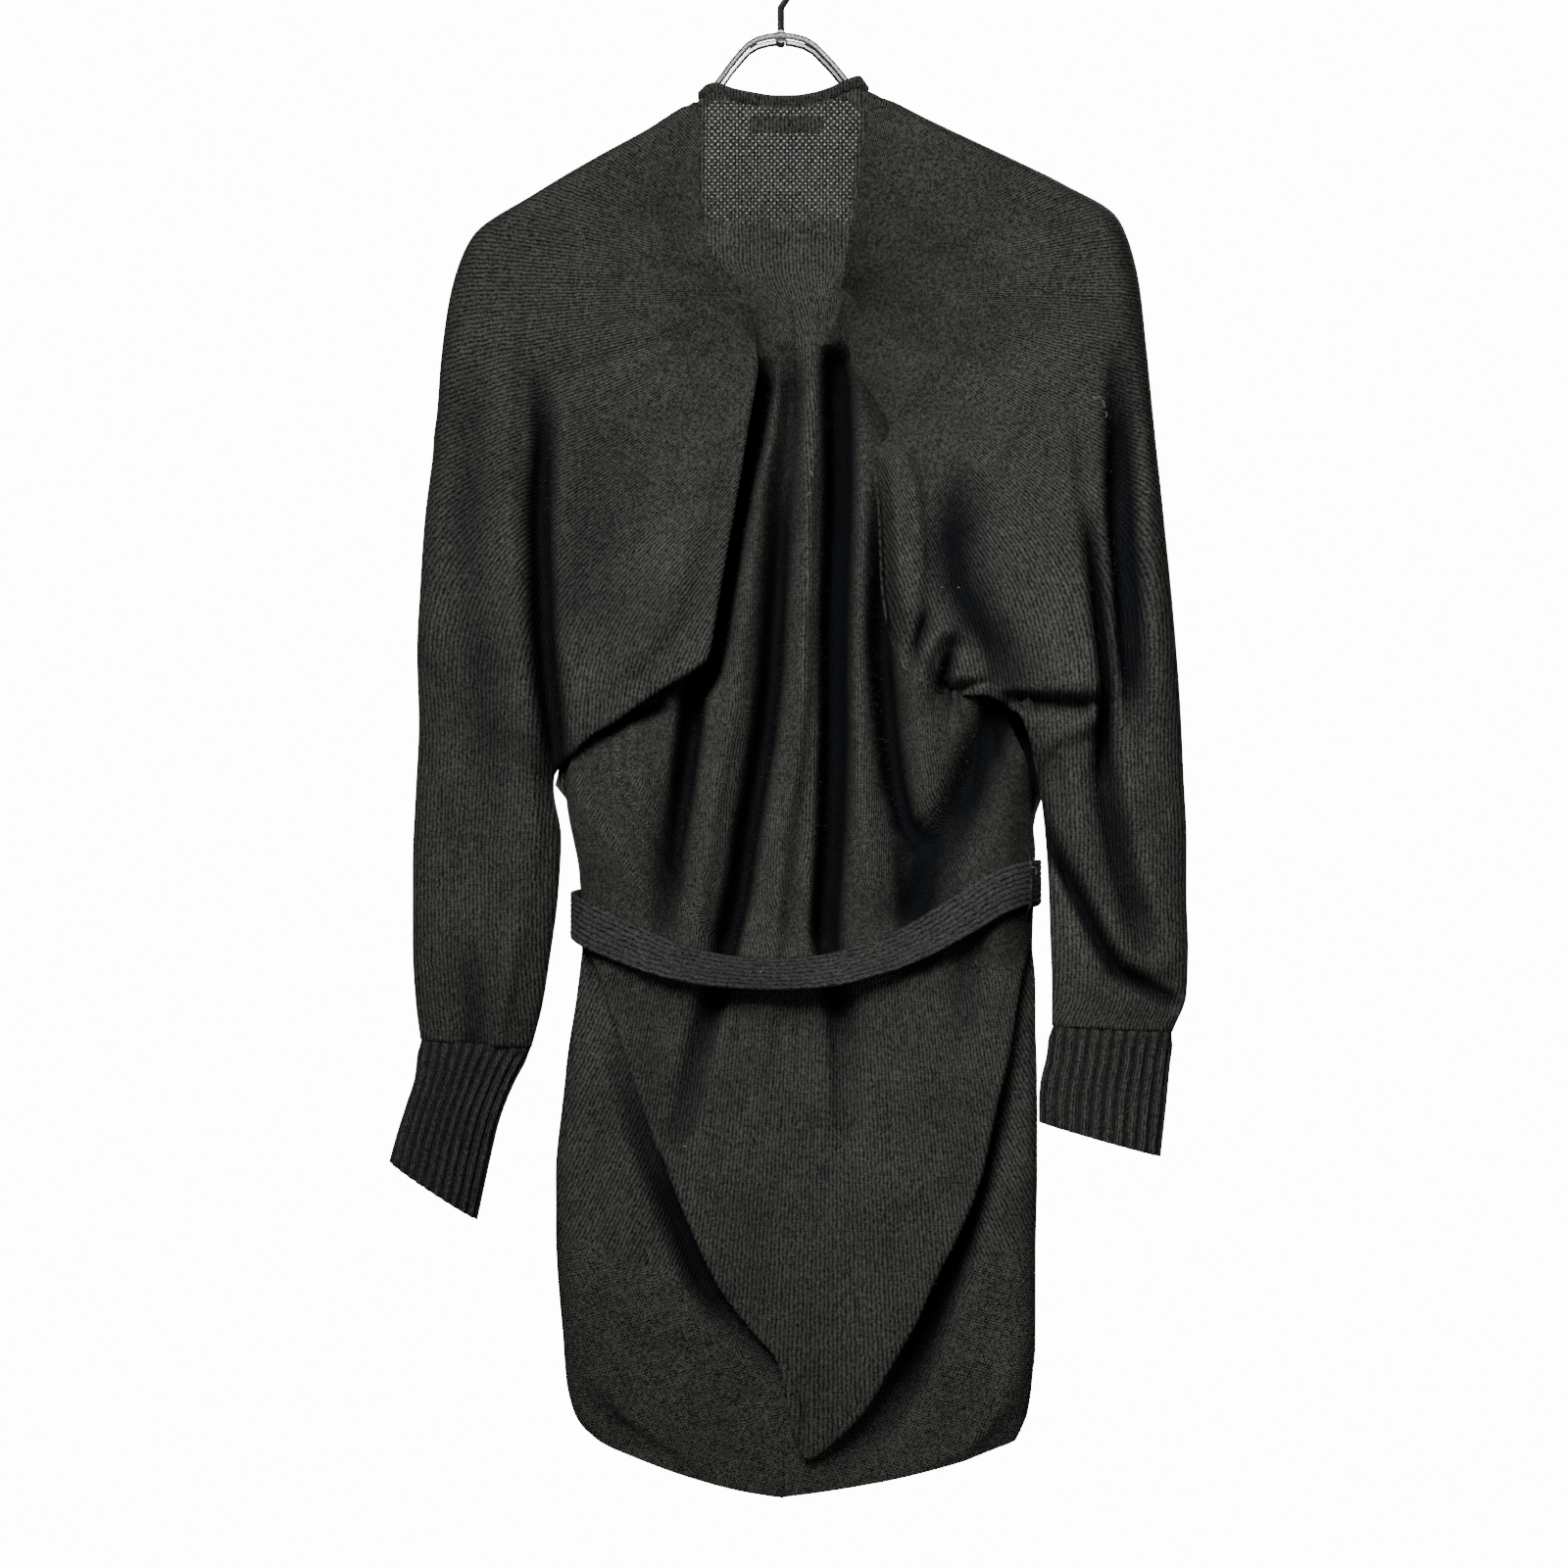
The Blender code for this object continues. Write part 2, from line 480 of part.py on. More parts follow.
FrontRow = namedtuple("FrontRow", "drop left_outer left_inner right_inner right_outer proud")
FRONT_ROWS = [
    FrontRow(48, -59, -53, 56, 64, 17.5),
    FrontRow(71, -65, -50, 54, 72, 18),
    FrontRow(93, -71, -37, 41, 88, 18.5),
    FrontRow(113, -76, -9, 12, 94, 19),
    FrontRow(137, -81, 16, -13, 101, 19.5),
    FrontRow(175, -89, 41, -38, 110, 20.5),
    FrontRow(226, -99, 59, -57, 120, 21.5),
    FrontRow(289, -113, 68, -67, 134, 22.5),
    FrontRow(352, -127, 70, -70, 148, 23.5),
    FrontRow(408, -137, 69, -69, 159, 24.5),
    FrontRow(446, -138, 67, -67, 160, 25),
    FrontRow(503, -129, 65, -64, 163, 25.5),
    FrontRow(541, -127, 65, -64, 161, 25.5),
    FrontRow(635, -138, 68, -67, 164, 25),
    FrontRow(730, -144, 68, -69, 163, 24),
    FrontRow(805, -139, 65, -66, 163, 23),
    FrontRow(843, -134, 60, -61, 158, 22.5),
    FrontRow(863, -122, 55, -56, 153, 22),
]
LAP = 6                   # how far the right front lies over the left
FRONT_SEAM = 1.8          # from a sleeve's front edge to the front's outer edge
FRONT_SAG = 14            # how far the fronts' bottom edge bows down
FRONT_FOLDS = [
    Fold("left long fold", -4, 12, 16, [(-86, 333, 0), (-93, 421, 1), (-89, 509, 0.8),
         (-93, 604, 0.4)]),
    Fold("right long fold", -4, 16, 12, [(118, 320, 0), (122, 408, 1), (118, 509, 0.8),
         (123, 610, 0.4)]),
    Fold("waist fold", -3, 10, 12, [(-23, 383, 0), (-33, 459, 1), (-30, 528, 0.8),
         (-39, 604, 0.3)]),
    Fold("second waist fold", -3, 12, 10, [(33, 377, 0), (47, 459, 1), (45, 528, 0.8),
         (52, 622, 0.3)]),
    Fold("skirt swell", 3, 24, 24, [(2, 572, 0), (-1, 667, 1), (2, 824, 0.8)]),
    Fold("left skirt fold", 3, 16, 16, [(-93, 559, 0.3), (-99, 648, 1), (-102, 824, 0.6)]),
    Fold("right skirt fold", 3, 16, 16, [(118, 559, 0.3), (128, 648, 1), (131, 824, 0.6)]),
]


def proud_front(x, drop):
    level = column(FRONT_ROWS, "proud", drop, "drop") + folded(FRONT_FOLDS, x, drop)
    turned = ramp(drop, 402, 446)
    return level * (1 - turned * (1 - side_round(x, drop))) + SIDE_GAP * turned


def seam_x(sleeve, drop):
    """Where a sleeve's front edge runs, at a given drop."""
    rows = sorted(sleeve[5:], key=lambda row: row.front_drop)
    return float(column(rows, "front_x", drop, "front_drop"))


def front_grid(name, sleeve, down, across):
    """Rows of points from the neck down, from the outer edge to the front edge."""
    sign = 1 if name == "left" else -1
    grid = []
    for share in np.linspace(0, 1, down + 1):
        drop = FRONT_ROWS[0].drop + (FRONT_ROWS[-1].drop - FRONT_ROWS[0].drop) * share
        outer = float(column(FRONT_ROWS, name + "_outer", drop, "drop"))
        if drop < sleeve[5].front_drop:
            outer = seam_x(sleeve, drop) + sign * FRONT_SEAM
        inner = float(column(FRONT_ROWS, name + "_inner", drop, "drop"))
        away = side_places(abs(inner - outer), across)
        x = outer + sign * away
        low = drop + FRONT_SAG * ramp(share, 0.8, 1) * np.sin(np.pi / 2 * away / away[-1])
        proud = proud_front(x, np.minimum(low, FRONT_ROWS[-1].drop))
        if name == "right":
            proud = proud + LAP * (1 - ramp(x, 68, 118))
        grid.append(np.stack([x, low, -proud], axis=-1))
    return np.array(grid)


# The cuffs: a ribbed tube between two edges

CuffRow = namedtuple("CuffRow", "outer_x outer_drop inner_x inner_drop depth")
LEFT_CUFF = [
    CuffRow(-233, 633, -174, 639, 11.5),
    CuffRow(-239, 653, -183, 662, 11.5),
    CuffRow(-245, 672, -189, 687, 11.5),
    CuffRow(-250, 690, -197, 725, 12),
]
RIGHT_CUFF = [
    CuffRow(248, 627, 173, 620, 11.5),
    CuffRow(246, 648, 169, 638, 11.5),
    CuffRow(244, 667, 168, 651, 11.5),
    CuffRow(242, 685, 168, 664, 12),
]


def cuff_rows(sleeve, rows):
    """The cuff's rows, with one in front for where it is sewn to the end of its sleeve."""
    end = sleeve[0]
    top = CuffRow(end.outer_x, end.outer_drop + CUFF_SEAM, end.inner_x, end.inner_drop + CUFF_SEAM,
                  end.back)
    return [top] + rows


def cuff_rings(rows, ribs, points_per_rib, down):
    """Rings down the ribbed outside, then up the plain inside."""
    count = ribs * points_per_rib
    dense = np.linspace(0, 2 * np.pi, 721)
    outside, inside = [], []
    for at in np.linspace(0, len(rows) - 1, down + 1):
        row = CuffRow(*(float(column(rows, name, at)) for name in CuffRow._fields))
        centre = np.array([(row.outer_x + row.inner_x) / 2, (row.outer_drop + row.inner_drop) / 2])
        half = np.array([row.inner_x - row.outer_x, row.inner_drop - row.outer_drop]) / 2
        width = np.linalg.norm(half)
        length = np.concatenate([[0], np.cumsum(np.hypot(
            np.diff(width * np.cos(dense)), np.diff(row.depth * np.sin(dense))))])
        angle = np.interp(np.arange(count) / count * length[-1], length, dense)
        rib = RIB_RISE * np.cos(2 * np.pi * np.arange(count) / points_per_rib)
        for ring, offset in ((outside, WALL / 2 + rib), (inside, -WALL / 2 + 0 * rib)):
            across = (width + offset) / width * np.cos(angle)
            flat = centre[None, :] + half[None, :] * across[:, None]
            ring.append(np.column_stack([flat, (row.depth + offset) * np.sin(angle)]))
    return outside + inside[::-1]


# The belt: a flat sash that hangs in a shallow curve across the back and ties at the front

BeltRow = namedtuple("BeltRow", "x drop proud tilt")
BELT_ROWS = [
    BeltRow(-17, 520, -36, 0),
    BeltRow(-61, 523, -35.5, 0),
    BeltRow(-99, 525, -31.5, 0),
    BeltRow(-120, 527, -26, 0),
    BeltRow(-131, 528, -14, 0),
    BeltRow(-134, 529, 0, 0),
    BeltRow(-132, 530, 14, 4),
    BeltRow(-122, 536, 28, 12),
    BeltRow(-99, 546, 37, 24),
    BeltRow(-67, 558, 45, 38),
    BeltRow(-36, 564, 49, 46),
    BeltRow(-4, 566, 50, 48),
    BeltRow(27, 564, 49, 46),
    BeltRow(59, 556, 46, 42),
    BeltRow(87, 545, 41, 36),
    BeltRow(115, 529, 37.5, 24),
    BeltRow(140, 514, 35, 12),
    BeltRow(156, 509, 27, 4),
    BeltRow(165, 508, 14, 0),
    BeltRow(166, 509, 0, 0),
    BeltRow(165, 511, -13, 0),
    BeltRow(156, 513, -25.5, 0),
    BeltRow(134, 515, -32, 0),
    BeltRow(96, 517, -36, 0),
    BeltRow(52, 519, -36.5, 0),
    BeltRow(28, 520, -36, 0),
]


def strip_grid(rows, width, along, across):
    """A flat strip along a path, turned about the path by each row's tilt in degrees."""
    points = np.array([(r.x, r.drop, r.proud) for r in rows], float)
    at = np.linspace(0, len(rows) - 1, along + 1)
    path = np.stack([smooth(range(len(rows)), points[:, k], at) for k in range(3)], axis=-1)
    tilt = np.radians(column(rows, "tilt", at))
    ahead = np.gradient(path, axis=0)
    ahead /= np.linalg.norm(ahead, axis=1)[:, None]
    down = np.array([0, 1.0, 0]) - ahead * ahead[:, 1:2]
    down /= np.linalg.norm(down, axis=1)[:, None]
    out = np.cross(ahead, down)
    wide = down * np.cos(tilt)[:, None] + out * np.sin(tilt)[:, None]
    share = np.linspace(-0.5, 0.5, across + 1)
    return path[:, None, :] + wide[:, None, :] * share[None, :, None] * width


Tail = namedtuple("Tail", "name rows")
TAILS = [
    Tail("belt_tail_left", [
        BeltRow(-4, 536, -38.5, 0), BeltRow(-6, 559, -39, 0), BeltRow(-13, 635, -39.5, 4),
        BeltRow(-16, 711, -39.5, 3), BeltRow(-18, 774, -39, 0)]),
    Tail("belt_tail_right", [
        BeltRow(17, 536, -42.6, 0), BeltRow(21, 559, -43, 0), BeltRow(28, 629, -43, -2),
        BeltRow(29, 692, -42.6, -2), BeltRow(32, 742, -42, 0)]),
]
KNOT = namedtuple("Knot", "x drop proud half_width half_height half_depth")(
    5.5, 520, -43.4, 22.2, 15, 9.5)
KNOT_SQUARE = 0.42        # how square the knot is: 1 is an ellipsoid and 0 a box


def knot_rings(knot, rings, around):
    """Rings of a soft square pad along x, from one end to the other."""
    grid = []
    for turn in np.linspace(-np.pi / 2, np.pi / 2, rings + 2)[1:-1]:
        size = math.cos(turn) ** KNOT_SQUARE
        reach = math.copysign(abs(math.sin(turn)) ** KNOT_SQUARE, math.sin(turn))
        angle = 2 * np.pi * np.arange(around) / around
        across, up = np.cos(angle), np.sin(angle)
        across = np.sign(across) * np.abs(across) ** KNOT_SQUARE
        up = np.sign(up) * np.abs(up) ** KNOT_SQUARE
        grid.append(np.column_stack([
            np.full(around, knot.x + knot.half_width * reach),
            knot.drop + knot.half_height * size * up,
            knot.proud + knot.half_depth * size * across]))
    return grid


# The thread loops that hold the belt at the sides

Bend = namedtuple("Bend", "x drop proud")
THREAD = 0.8              # radius of a loop's thread
LOOPS = {
    "belt_loop_left": [
        Bend(-120, 509, -22.6), Bend(-121, 510, -25), Bend(-123, 513, -30),
        Bend(-123, 520, -31.4), Bend(-123, 527, -31.6), Bend(-123, 534, -31.4),
        Bend(-123, 541, -30), Bend(-121, 543, -25), Bend(-120, 546, -22.6)],
    "belt_loop_right": [
        Bend(156, 488, 19.6), Bend(157, 490, 22), Bend(158, 493, 28),
        Bend(159, 499, 29.8), Bend(159, 509, 30.2), Bend(159, 519, 30.4),
        Bend(158, 525, 29), Bend(157, 529, 23), Bend(156, 532, 20)],
}


# The neckband: a narrow rolled band along the back neck; and the blank label inside it

NeckRow = namedtuple("NeckRow", "rise roll")
NECKBAND = [
    NeckRow(0.6, 0),
    NeckRow(1.8, 0.15),
    NeckRow(3.3, 1.0),
    NeckRow(4.8, 1.2),
    NeckRow(6.2, 0.5),
]
LABEL_LEFT, LABEL_RIGHT = -20, 27
LABEL_TOP, LABEL_BOTTOM = 19, 30
LABEL_THICK = 0.6
LABEL_GAP = 0.3


def neckband_grid(columns):
    """Rows up from the back's top edge."""
    t = np.linspace(0, 1, columns + 1)
    top = BACK_ROWS[0].drop + NECK_DIP * (1 - (2 * t - 1) ** 2)
    x = BACK_ROWS[0].left + t * (BACK_ROWS[0].right - BACK_ROWS[0].left)
    base = proud_back(x, top)
    return np.array([np.stack([x, top - row.rise, base + row.roll], axis=-1)
                     for row in reversed(NECKBAND)])


def label_grid(columns, rows):
    """Points of the back's neck, moved inside it."""
    x, drop = np.meshgrid(np.linspace(LABEL_LEFT, LABEL_RIGHT, columns + 1),
                          np.linspace(LABEL_TOP, LABEL_BOTTOM, rows + 1))
    inside = WALL / 2 + LABEL_GAP + LABEL_THICK / 2
    return np.stack([x, drop, proud_back(x, drop) - inside], axis=-1)


# The hanger: two rods side by side that join round at the ends, a bridge and a hook

RodPoint = namedtuple("RodPoint", "x drop")
RODS = [
    RodPoint(-183, 96), RodPoint(-158, 77), RodPoint(-117, 53), RodPoint(-83, 33),
    RodPoint(-54, 13), RodPoint(-40, -3), RodPoint(-28, -19), RodPoint(-16, -30),
    RodPoint(0, -33), RodPoint(16, -30), RodPoint(28, -20), RodPoint(41, -5),
    RodPoint(56, 13), RodPoint(100, 33), RodPoint(140, 52), RodPoint(181, 72),
    RodPoint(202, 86),
]
BRIDGE_RADIUS = 4
ROD_GAP = 0.3


def rod_path(points, steps, end_steps):
    """A closed loop: along the back rod, round one end, along the front rod, and round again."""
    at = np.linspace(0, len(points) - 1, steps + 1)
    x, drop = column(points, "x", at), column(points, "drop", at)
    path = [(x[k], drop[k], WIRE_DEPTH) for k in range(steps + 1)]
    ends = [(x[-1], drop[-1], x[-1] - x[-2], drop[-1] - drop[-2], 1),
            (x[0], drop[0], x[0] - x[1], drop[0] - drop[1], -1)]
    rounded = []
    for end_x, end_drop, run, fall, side in ends:
        length = math.hypot(run, fall)
        for k in range(1, end_steps):
            turn = math.pi * k / end_steps
            reach = WIRE_DEPTH * math.sin(turn)
            rounded.append((end_x + run / length * reach, end_drop + fall / length * reach,
                            side * WIRE_DEPTH * math.cos(turn)))
    half = end_steps - 1
    path += rounded[:half]
    path += [(x[k], drop[k], -WIRE_DEPTH) for k in range(steps, -1, -1)]
    return path + rounded[half:]


def hook_path(steps):
    """From the bridge up, round the hook and over its top, with x and z in millimetres."""
    centre = HOOK_RADIUS + HOOK_WIRE
    path = [(0, -(NECK_BELOW_HOOK + RODS[8].drop) + BRIDGE_RADIUS + ROD_GAP), (0, -56), (0, -51)]
    for turn in np.linspace(math.radians(-78), math.radians(205), steps + 1):
        path.append((centre * math.cos(turn), -HOOK_RADIUS + centre * math.sin(turn)))
    return path


# Making the solids

def metres(point):
    x, drop, proud = (float(v) for v in point)
    return x * MM, -proud * MM, -(NECK_BELOW_HOOK + drop) * MM


def clear_scene():
    for obj in list(bpy.data.objects):
        bpy.data.objects.remove(obj, do_unlink=True)


def material(colour, name):
    made = bpy.data.materials.new(name)
    made.use_nodes = True
    shader = made.node_tree.nodes["Principled BSDF"]
    shader.inputs["Base Color"].default_value = (*colour.rgb, 1)
    shader.inputs["Roughness"].default_value = colour.roughness
    shader.inputs["Metallic"].default_value = colour.metallic
    made.diffuse_color = (*colour.rgb, 1)
    return made


def place(name, data, colour):
    """Put an object in a collection of its own name, with its own material."""
    obj = bpy.data.objects.new(name, data)
    data.materials.append(material(colour, name + "_material"))
    collection = bpy.data.collections.new(name)
    bpy.context.scene.collection.children.link(collection)
    collection.objects.link(obj)
    return obj


def wall(name, grid, colour, thickness=WALL, keep=None):
    """A sheet of points made into a wall that has the sheet in its middle."""
    rows, columns = grid.shape[:2]
    built = bmesh.new()
    points = {}
    for i in range(rows - 1):
        for j in range(columns - 1):
            if keep is not None and not keep[i, j]:
                continue
            corners = ((i, j), (i, j + 1), (i + 1, j + 1), (i + 1, j))
            for corner in corners:
                if corner not in points:
                    points[corner] = built.verts.new(metres(grid[corner]))
            built.faces.new([points[corner] for corner in corners])
    bmesh.ops.recalc_face_normals(built, faces=built.faces)
    mesh = bpy.data.meshes.new(name)
    built.to_mesh(mesh)
    built.free()
    obj = place(name, mesh, colour)
    solid = obj.modifiers.new("cloth thickness", "SOLIDIFY")
    solid.thickness = thickness * MM
    solid.offset = 0
    solid.use_even_offset = False
    return obj


def ring_solid(name, rings, colour, closed):
    """A solid through rings of points. Closed joins the last ring to the first, and otherwise
    both end rings are capped."""
    built = bmesh.new()
    made = [[built.verts.new(metres(point)) for point in ring] for ring in rings]
    count = len(made[0])
    pairs = list(zip(made, made[1:] + made[:1])) if closed else list(zip(made, made[1:]))
    for one, two in pairs:
        for k in range(count):
            n = (k + 1) % count
            built.faces.new([one[k], one[n], two[n], two[k]])
    if not closed:
        for ring in (made[0], made[-1]):
            built.faces.new(ring)
    bmesh.ops.recalc_face_normals(built, faces=built.faces)
    mesh = bpy.data.meshes.new(name)
    built.to_mesh(mesh)
    built.free()
    return place(name, mesh, colour)


def wire(name, path, radius, colour, closed=False, resolution=2):
    """A round wire along a path of points in metres."""
    curve = bpy.data.curves.new(name, "CURVE")
    curve.dimensions = "3D"
    curve.bevel_depth = radius * MM
    curve.bevel_resolution = resolution
    curve.use_fill_caps = not closed
    spline = curve.splines.new("POLY")
    spline.points.add(len(path) - 1)
    for point, place_at in zip(spline.points, path):
        point.co = (*place_at, 1)
    spline.use_cyclic_u = closed
    return place(name, curve, colour)


def build_body():
    wall("back", back_grid(36, 26, 4), WOOL)
    for name, sleeve, folds in (("left", LEFT_SLEEVE, LEFT_SLEEVE_FOLDS),
                                ("right", RIGHT_SLEEVE, RIGHT_SLEEVE_FOLDS)):
        grid, keep = sleeve_grid(sleeve, folds, 22, 13, 9, 4)
        wall(name + "_sleeve", grid, WOOL, keep=keep)
        wall(name + "_front", front_grid(name, sleeve, 15, 10), WOOL)
    wall("left_hem", hem_grid(LEFT_HEM, LEFT_HEM_FOLDS, 10, 9, 1), WOOL)
    wall("right_hem", hem_grid(RIGHT_HEM, RIGHT_HEM_FOLDS, 10, 9, -1), WOOL)
    for name, sleeve, rows in (("left_cuff", LEFT_SLEEVE, LEFT_CUFF),
                               ("right_cuff", RIGHT_SLEEVE, RIGHT_CUFF)):
        rings = cuff_rings(cuff_rows(sleeve, rows), CUFF_RIBS, 2, 4)
        ring_solid(name, rings, RIB_WOOL, True)
    wall("neckband", neckband_grid(12), RIB_WOOL)
    wall("neck_label", label_grid(6, 1), LABEL, LABEL_THICK)


def build_belt():
    wall("belt", strip_grid(BELT_ROWS, BELT_WIDTH, 50, 2), WOOL, BELT_THICK)
    for tail in TAILS:
        wall(tail.name, strip_grid(tail.rows, BELT_WIDTH, 8, 2), WOOL, BELT_THICK)
    ring_solid("belt_knot", knot_rings(KNOT, 7, 16), WOOL, False)
    for name, bends in LOOPS.items():
        at = np.linspace(0, len(bends) - 1, 13)
        path = np.stack([column(bends, key, at) for key in Bend._fields], axis=-1)
        wire(name, [metres(point) for point in path], THREAD, RIB_WOOL, resolution=1)


def build_hanger():
    rods = [metres(point) for point in rod_path(RODS, 34, 6)]
    wire("hanger_rods", rods, WIRE, CHROME, closed=True)
    hook = [(x * MM, 0.0, z * MM) for x, z in hook_path(20)]
    wire("hanger_hook", hook, HOOK_WIRE, CHROME)
    bpy.ops.mesh.primitive_cylinder_add(
        vertices=20, radius=BRIDGE_RADIUS * MM,
        depth=2 * (WIRE_DEPTH - WIRE - ROD_GAP) * MM,
        location=(RODS[8].x * MM, 0, -(NECK_BELOW_HOOK + RODS[8].drop) * MM),
        rotation=(math.pi / 2, 0, 0))
    made = bpy.context.object
    mesh = made.data
    turned = made.matrix_world.copy()
    bpy.data.objects.remove(made, do_unlink=True)
    bridge = place("hanger_bridge", mesh, CHROME)
    bridge.matrix_world = turned


clear_scene()
build_body()
build_belt()
build_hanger()
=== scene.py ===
"""Long knitted cardigan on its hanger: the cloth, its knit, and the studio round it.

The back faces -Y, +X is to the right and +Z is up. The tables are in millimetres: x is across,
drop is the distance below the neck, and proud is the distance in front of the hanger's middle
plane. The cloth is made again from the solids' own tables, thinner and with many more points.
"""

import json
import math
import random
from collections import namedtuple

import bpy
import numpy as np
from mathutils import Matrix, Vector

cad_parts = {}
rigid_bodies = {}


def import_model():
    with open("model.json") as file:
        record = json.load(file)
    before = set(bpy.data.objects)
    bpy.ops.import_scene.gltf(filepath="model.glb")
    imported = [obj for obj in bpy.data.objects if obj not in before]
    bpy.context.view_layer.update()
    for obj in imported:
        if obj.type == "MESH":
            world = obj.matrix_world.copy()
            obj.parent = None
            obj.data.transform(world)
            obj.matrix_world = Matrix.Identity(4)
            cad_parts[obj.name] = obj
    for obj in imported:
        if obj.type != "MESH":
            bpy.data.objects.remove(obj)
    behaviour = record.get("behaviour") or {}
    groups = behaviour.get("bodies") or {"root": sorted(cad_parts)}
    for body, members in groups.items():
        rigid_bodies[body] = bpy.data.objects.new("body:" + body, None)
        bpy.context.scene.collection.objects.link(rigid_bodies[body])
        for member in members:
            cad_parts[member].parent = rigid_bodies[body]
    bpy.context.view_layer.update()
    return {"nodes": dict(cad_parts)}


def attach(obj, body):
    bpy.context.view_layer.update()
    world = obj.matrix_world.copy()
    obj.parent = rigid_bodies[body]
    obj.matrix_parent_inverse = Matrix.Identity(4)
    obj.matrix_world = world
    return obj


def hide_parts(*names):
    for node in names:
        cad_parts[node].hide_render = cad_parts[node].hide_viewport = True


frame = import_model()

MM = 0.001
CLOTH = 1.8               # thickness of the cloth that shows

# Driving sizes, in millimetres
WALL = 2.4                # thickness of the knitted cloth
SEAM = 0.4                # gap left between two sewn edges
NECK_BELOW_HOOK = 104     # from the rail down to the neck points
FOLD_RADIUS = 2.6         # radius of a soft folded edge
SIDE_ROUND = 26           # how far from the side the body turns from back to front
SIDE_GAP = 0.45           # from the middle plane to the side edges of the back and the fronts
CUFF_SEAM = 0.7           # gap left where a cuff is sewn to its sleeve
CUFF_RIBS = 22
RIB_RISE = 1.1            # how far a cuff's ribs rise from its wall
BELT_WIDTH = 27
BELT_THICK = 3.0

# How many cells each grid has
BACK_CELLS = (150, 210, 6)         # across, down, and round the folded lip
SLEEVE_CELLS = (170, 84, 34, 6)    # along, round the back, round the front, and round the lip
FRONT_CELLS = (90, 40)             # down and across
HEM_CELLS = (120, 70)
CUFF_CELLS = (12, 60)              # across a rib, and down
NECKBAND_CELLS = 120
BELT_CELLS = (400, 36)             # along and across
TAIL_CELLS = (90, 36)
KNOT_CELLS = (24, 48)              # rings, and points round each


# Tables and curves

def smooth(places, values, at):
    """Monotone cubic through a table's rows, so that a value never overshoots its neighbours."""
    places, values, at = (np.asarray(a, float) for a in (places, values, at))
    step = np.diff(places)
    slope = np.diff(values) / step
    turn = np.zeros(len(places))
    same = slope[:-1] * slope[1:] > 0
    with np.errstate(divide="ignore", invalid="ignore"):
        turn[1:-1] = np.where(same, 2 * slope[:-1] * slope[1:] / (slope[:-1] + slope[1:]), 0)
    turn[0], turn[-1] = slope[0], slope[-1]
    at = np.clip(at, places[0], places[-1])
    i = np.clip(np.searchsorted(places, at, side="right") - 1, 0, len(step) - 1)
    t = (at - places[i]) / step[i]
    rise = values[i + 1] - values[i]
    return (values[i] + rise * t * t * (3 - 2 * t)
            + step[i] * t * (1 - t) * (turn[i] * (1 - t) - turn[i + 1] * t))


def column(rows, name, at, key=None):
    """One named column of a table at the given places, by its key column or by row number."""
    places = range(len(rows)) if key is None else [getattr(row, key) for row in rows]
    return smooth(list(places), [getattr(row, name) for row in rows], at)


def row_at(rows, at):
    """A row worked out between a table's rows."""
    kind = type(rows[0])
    return kind(*(float(column(rows, name, at)) for name in kind._fields))


def table(kind, text):
    """A table's rows from text, with a comma or a new line between two rows."""
    rows = text.replace("\n", ",").split(",")
    return [kind(*map(float, row.split())) for row in rows if row.strip()]


def ramp(value, start, end):
    """0 before start, 1 after end, and a smooth step between."""
    t = np.clip((np.asarray(value, float) - start) / (end - start), 0, 1)
    return t * t * (3 - 2 * t)


# Folds: each runs along a few points, and is soft or steep on either side

Fold = namedtuple("Fold", "name rise left right points")
Point = namedtuple("Point", "x drop strength")
STEEP_RISE = -12          # a fold deeper than this has steeper sides


def fold_table(text):
    """Folds from text. Each is its name, rise, left and right, a colon, and its points, with a
    comma between two points and a semicolon between two folds."""
    folds = []
    for entry in text.split(";"):
        head, path = entry.split(":")
        *name, rise, left, right = head.split()
        points = [Point(*map(float, spot.split())) for spot in path.split(",")]
        folds.append(Fold(" ".join(name), float(rise), float(left), float(right), points))
    return folds


def fold_height(fold, x, drop):
    """How far a fold lifts the cloth at (x, drop). Left and right are the widths on each side of
    the path, as seen going along it downwards on the page."""
    nearest = np.full(np.shape(x), 1e9)
    strength = np.zeros(np.shape(x))
    side = np.zeros(np.shape(x))
    for a, b in zip(fold.points, fold.points[1:]):
        run, fall = b.x - a.x, b.drop - a.drop
        length = math.hypot(run, fall)
        t = np.clip(((x - a.x) * run + (drop - a.drop) * fall) / length ** 2, 0, 1)
        away_x, away_drop = x - a.x - t * run, drop - a.drop - t * fall
        away = np.hypot(away_x, away_drop)
        closer = away < nearest
        nearest = np.where(closer, away, nearest)
        strength = np.where(closer, a.strength + (b.strength - a.strength) * t, strength)
        side = np.where(closer, away_x * fall - away_drop * run, side)
    width = np.where(side < 0, fold.left, fold.right)
    sharpness = 3 if fold.rise < STEEP_RISE else 2
    return fold.rise * strength * np.exp(-(nearest / width) ** sharpness)


def folded(folds, x, drop):
    return sum(fold_height(fold, x, drop) for fold in folds)


# Outlines of the body, as seen from the back

Side = namedtuple("Side", "drop left right")
BODY_SIDES = table(Side, """
    433 -138 160
    465 -136 161
    503 -129 163
    541 -127 161
    578 -131 163
    635 -138 164
    692 -144 164
    748 -143 163
    805 -139 163
    843 -134 158
    863 -122 153
""")


def side_places(width, count, reach=SIDE_ROUND, steps=4):
    """Distances in from a side edge: even turns round the side, then even steps to the width."""
    reach = min(reach, width / 2)
    turns = reach * (1 - np.cos(np.linspace(0, np.pi / 2, steps + 1)))
    return np.concatenate([turns, np.linspace(reach, width, count - steps + 1)[1:]])


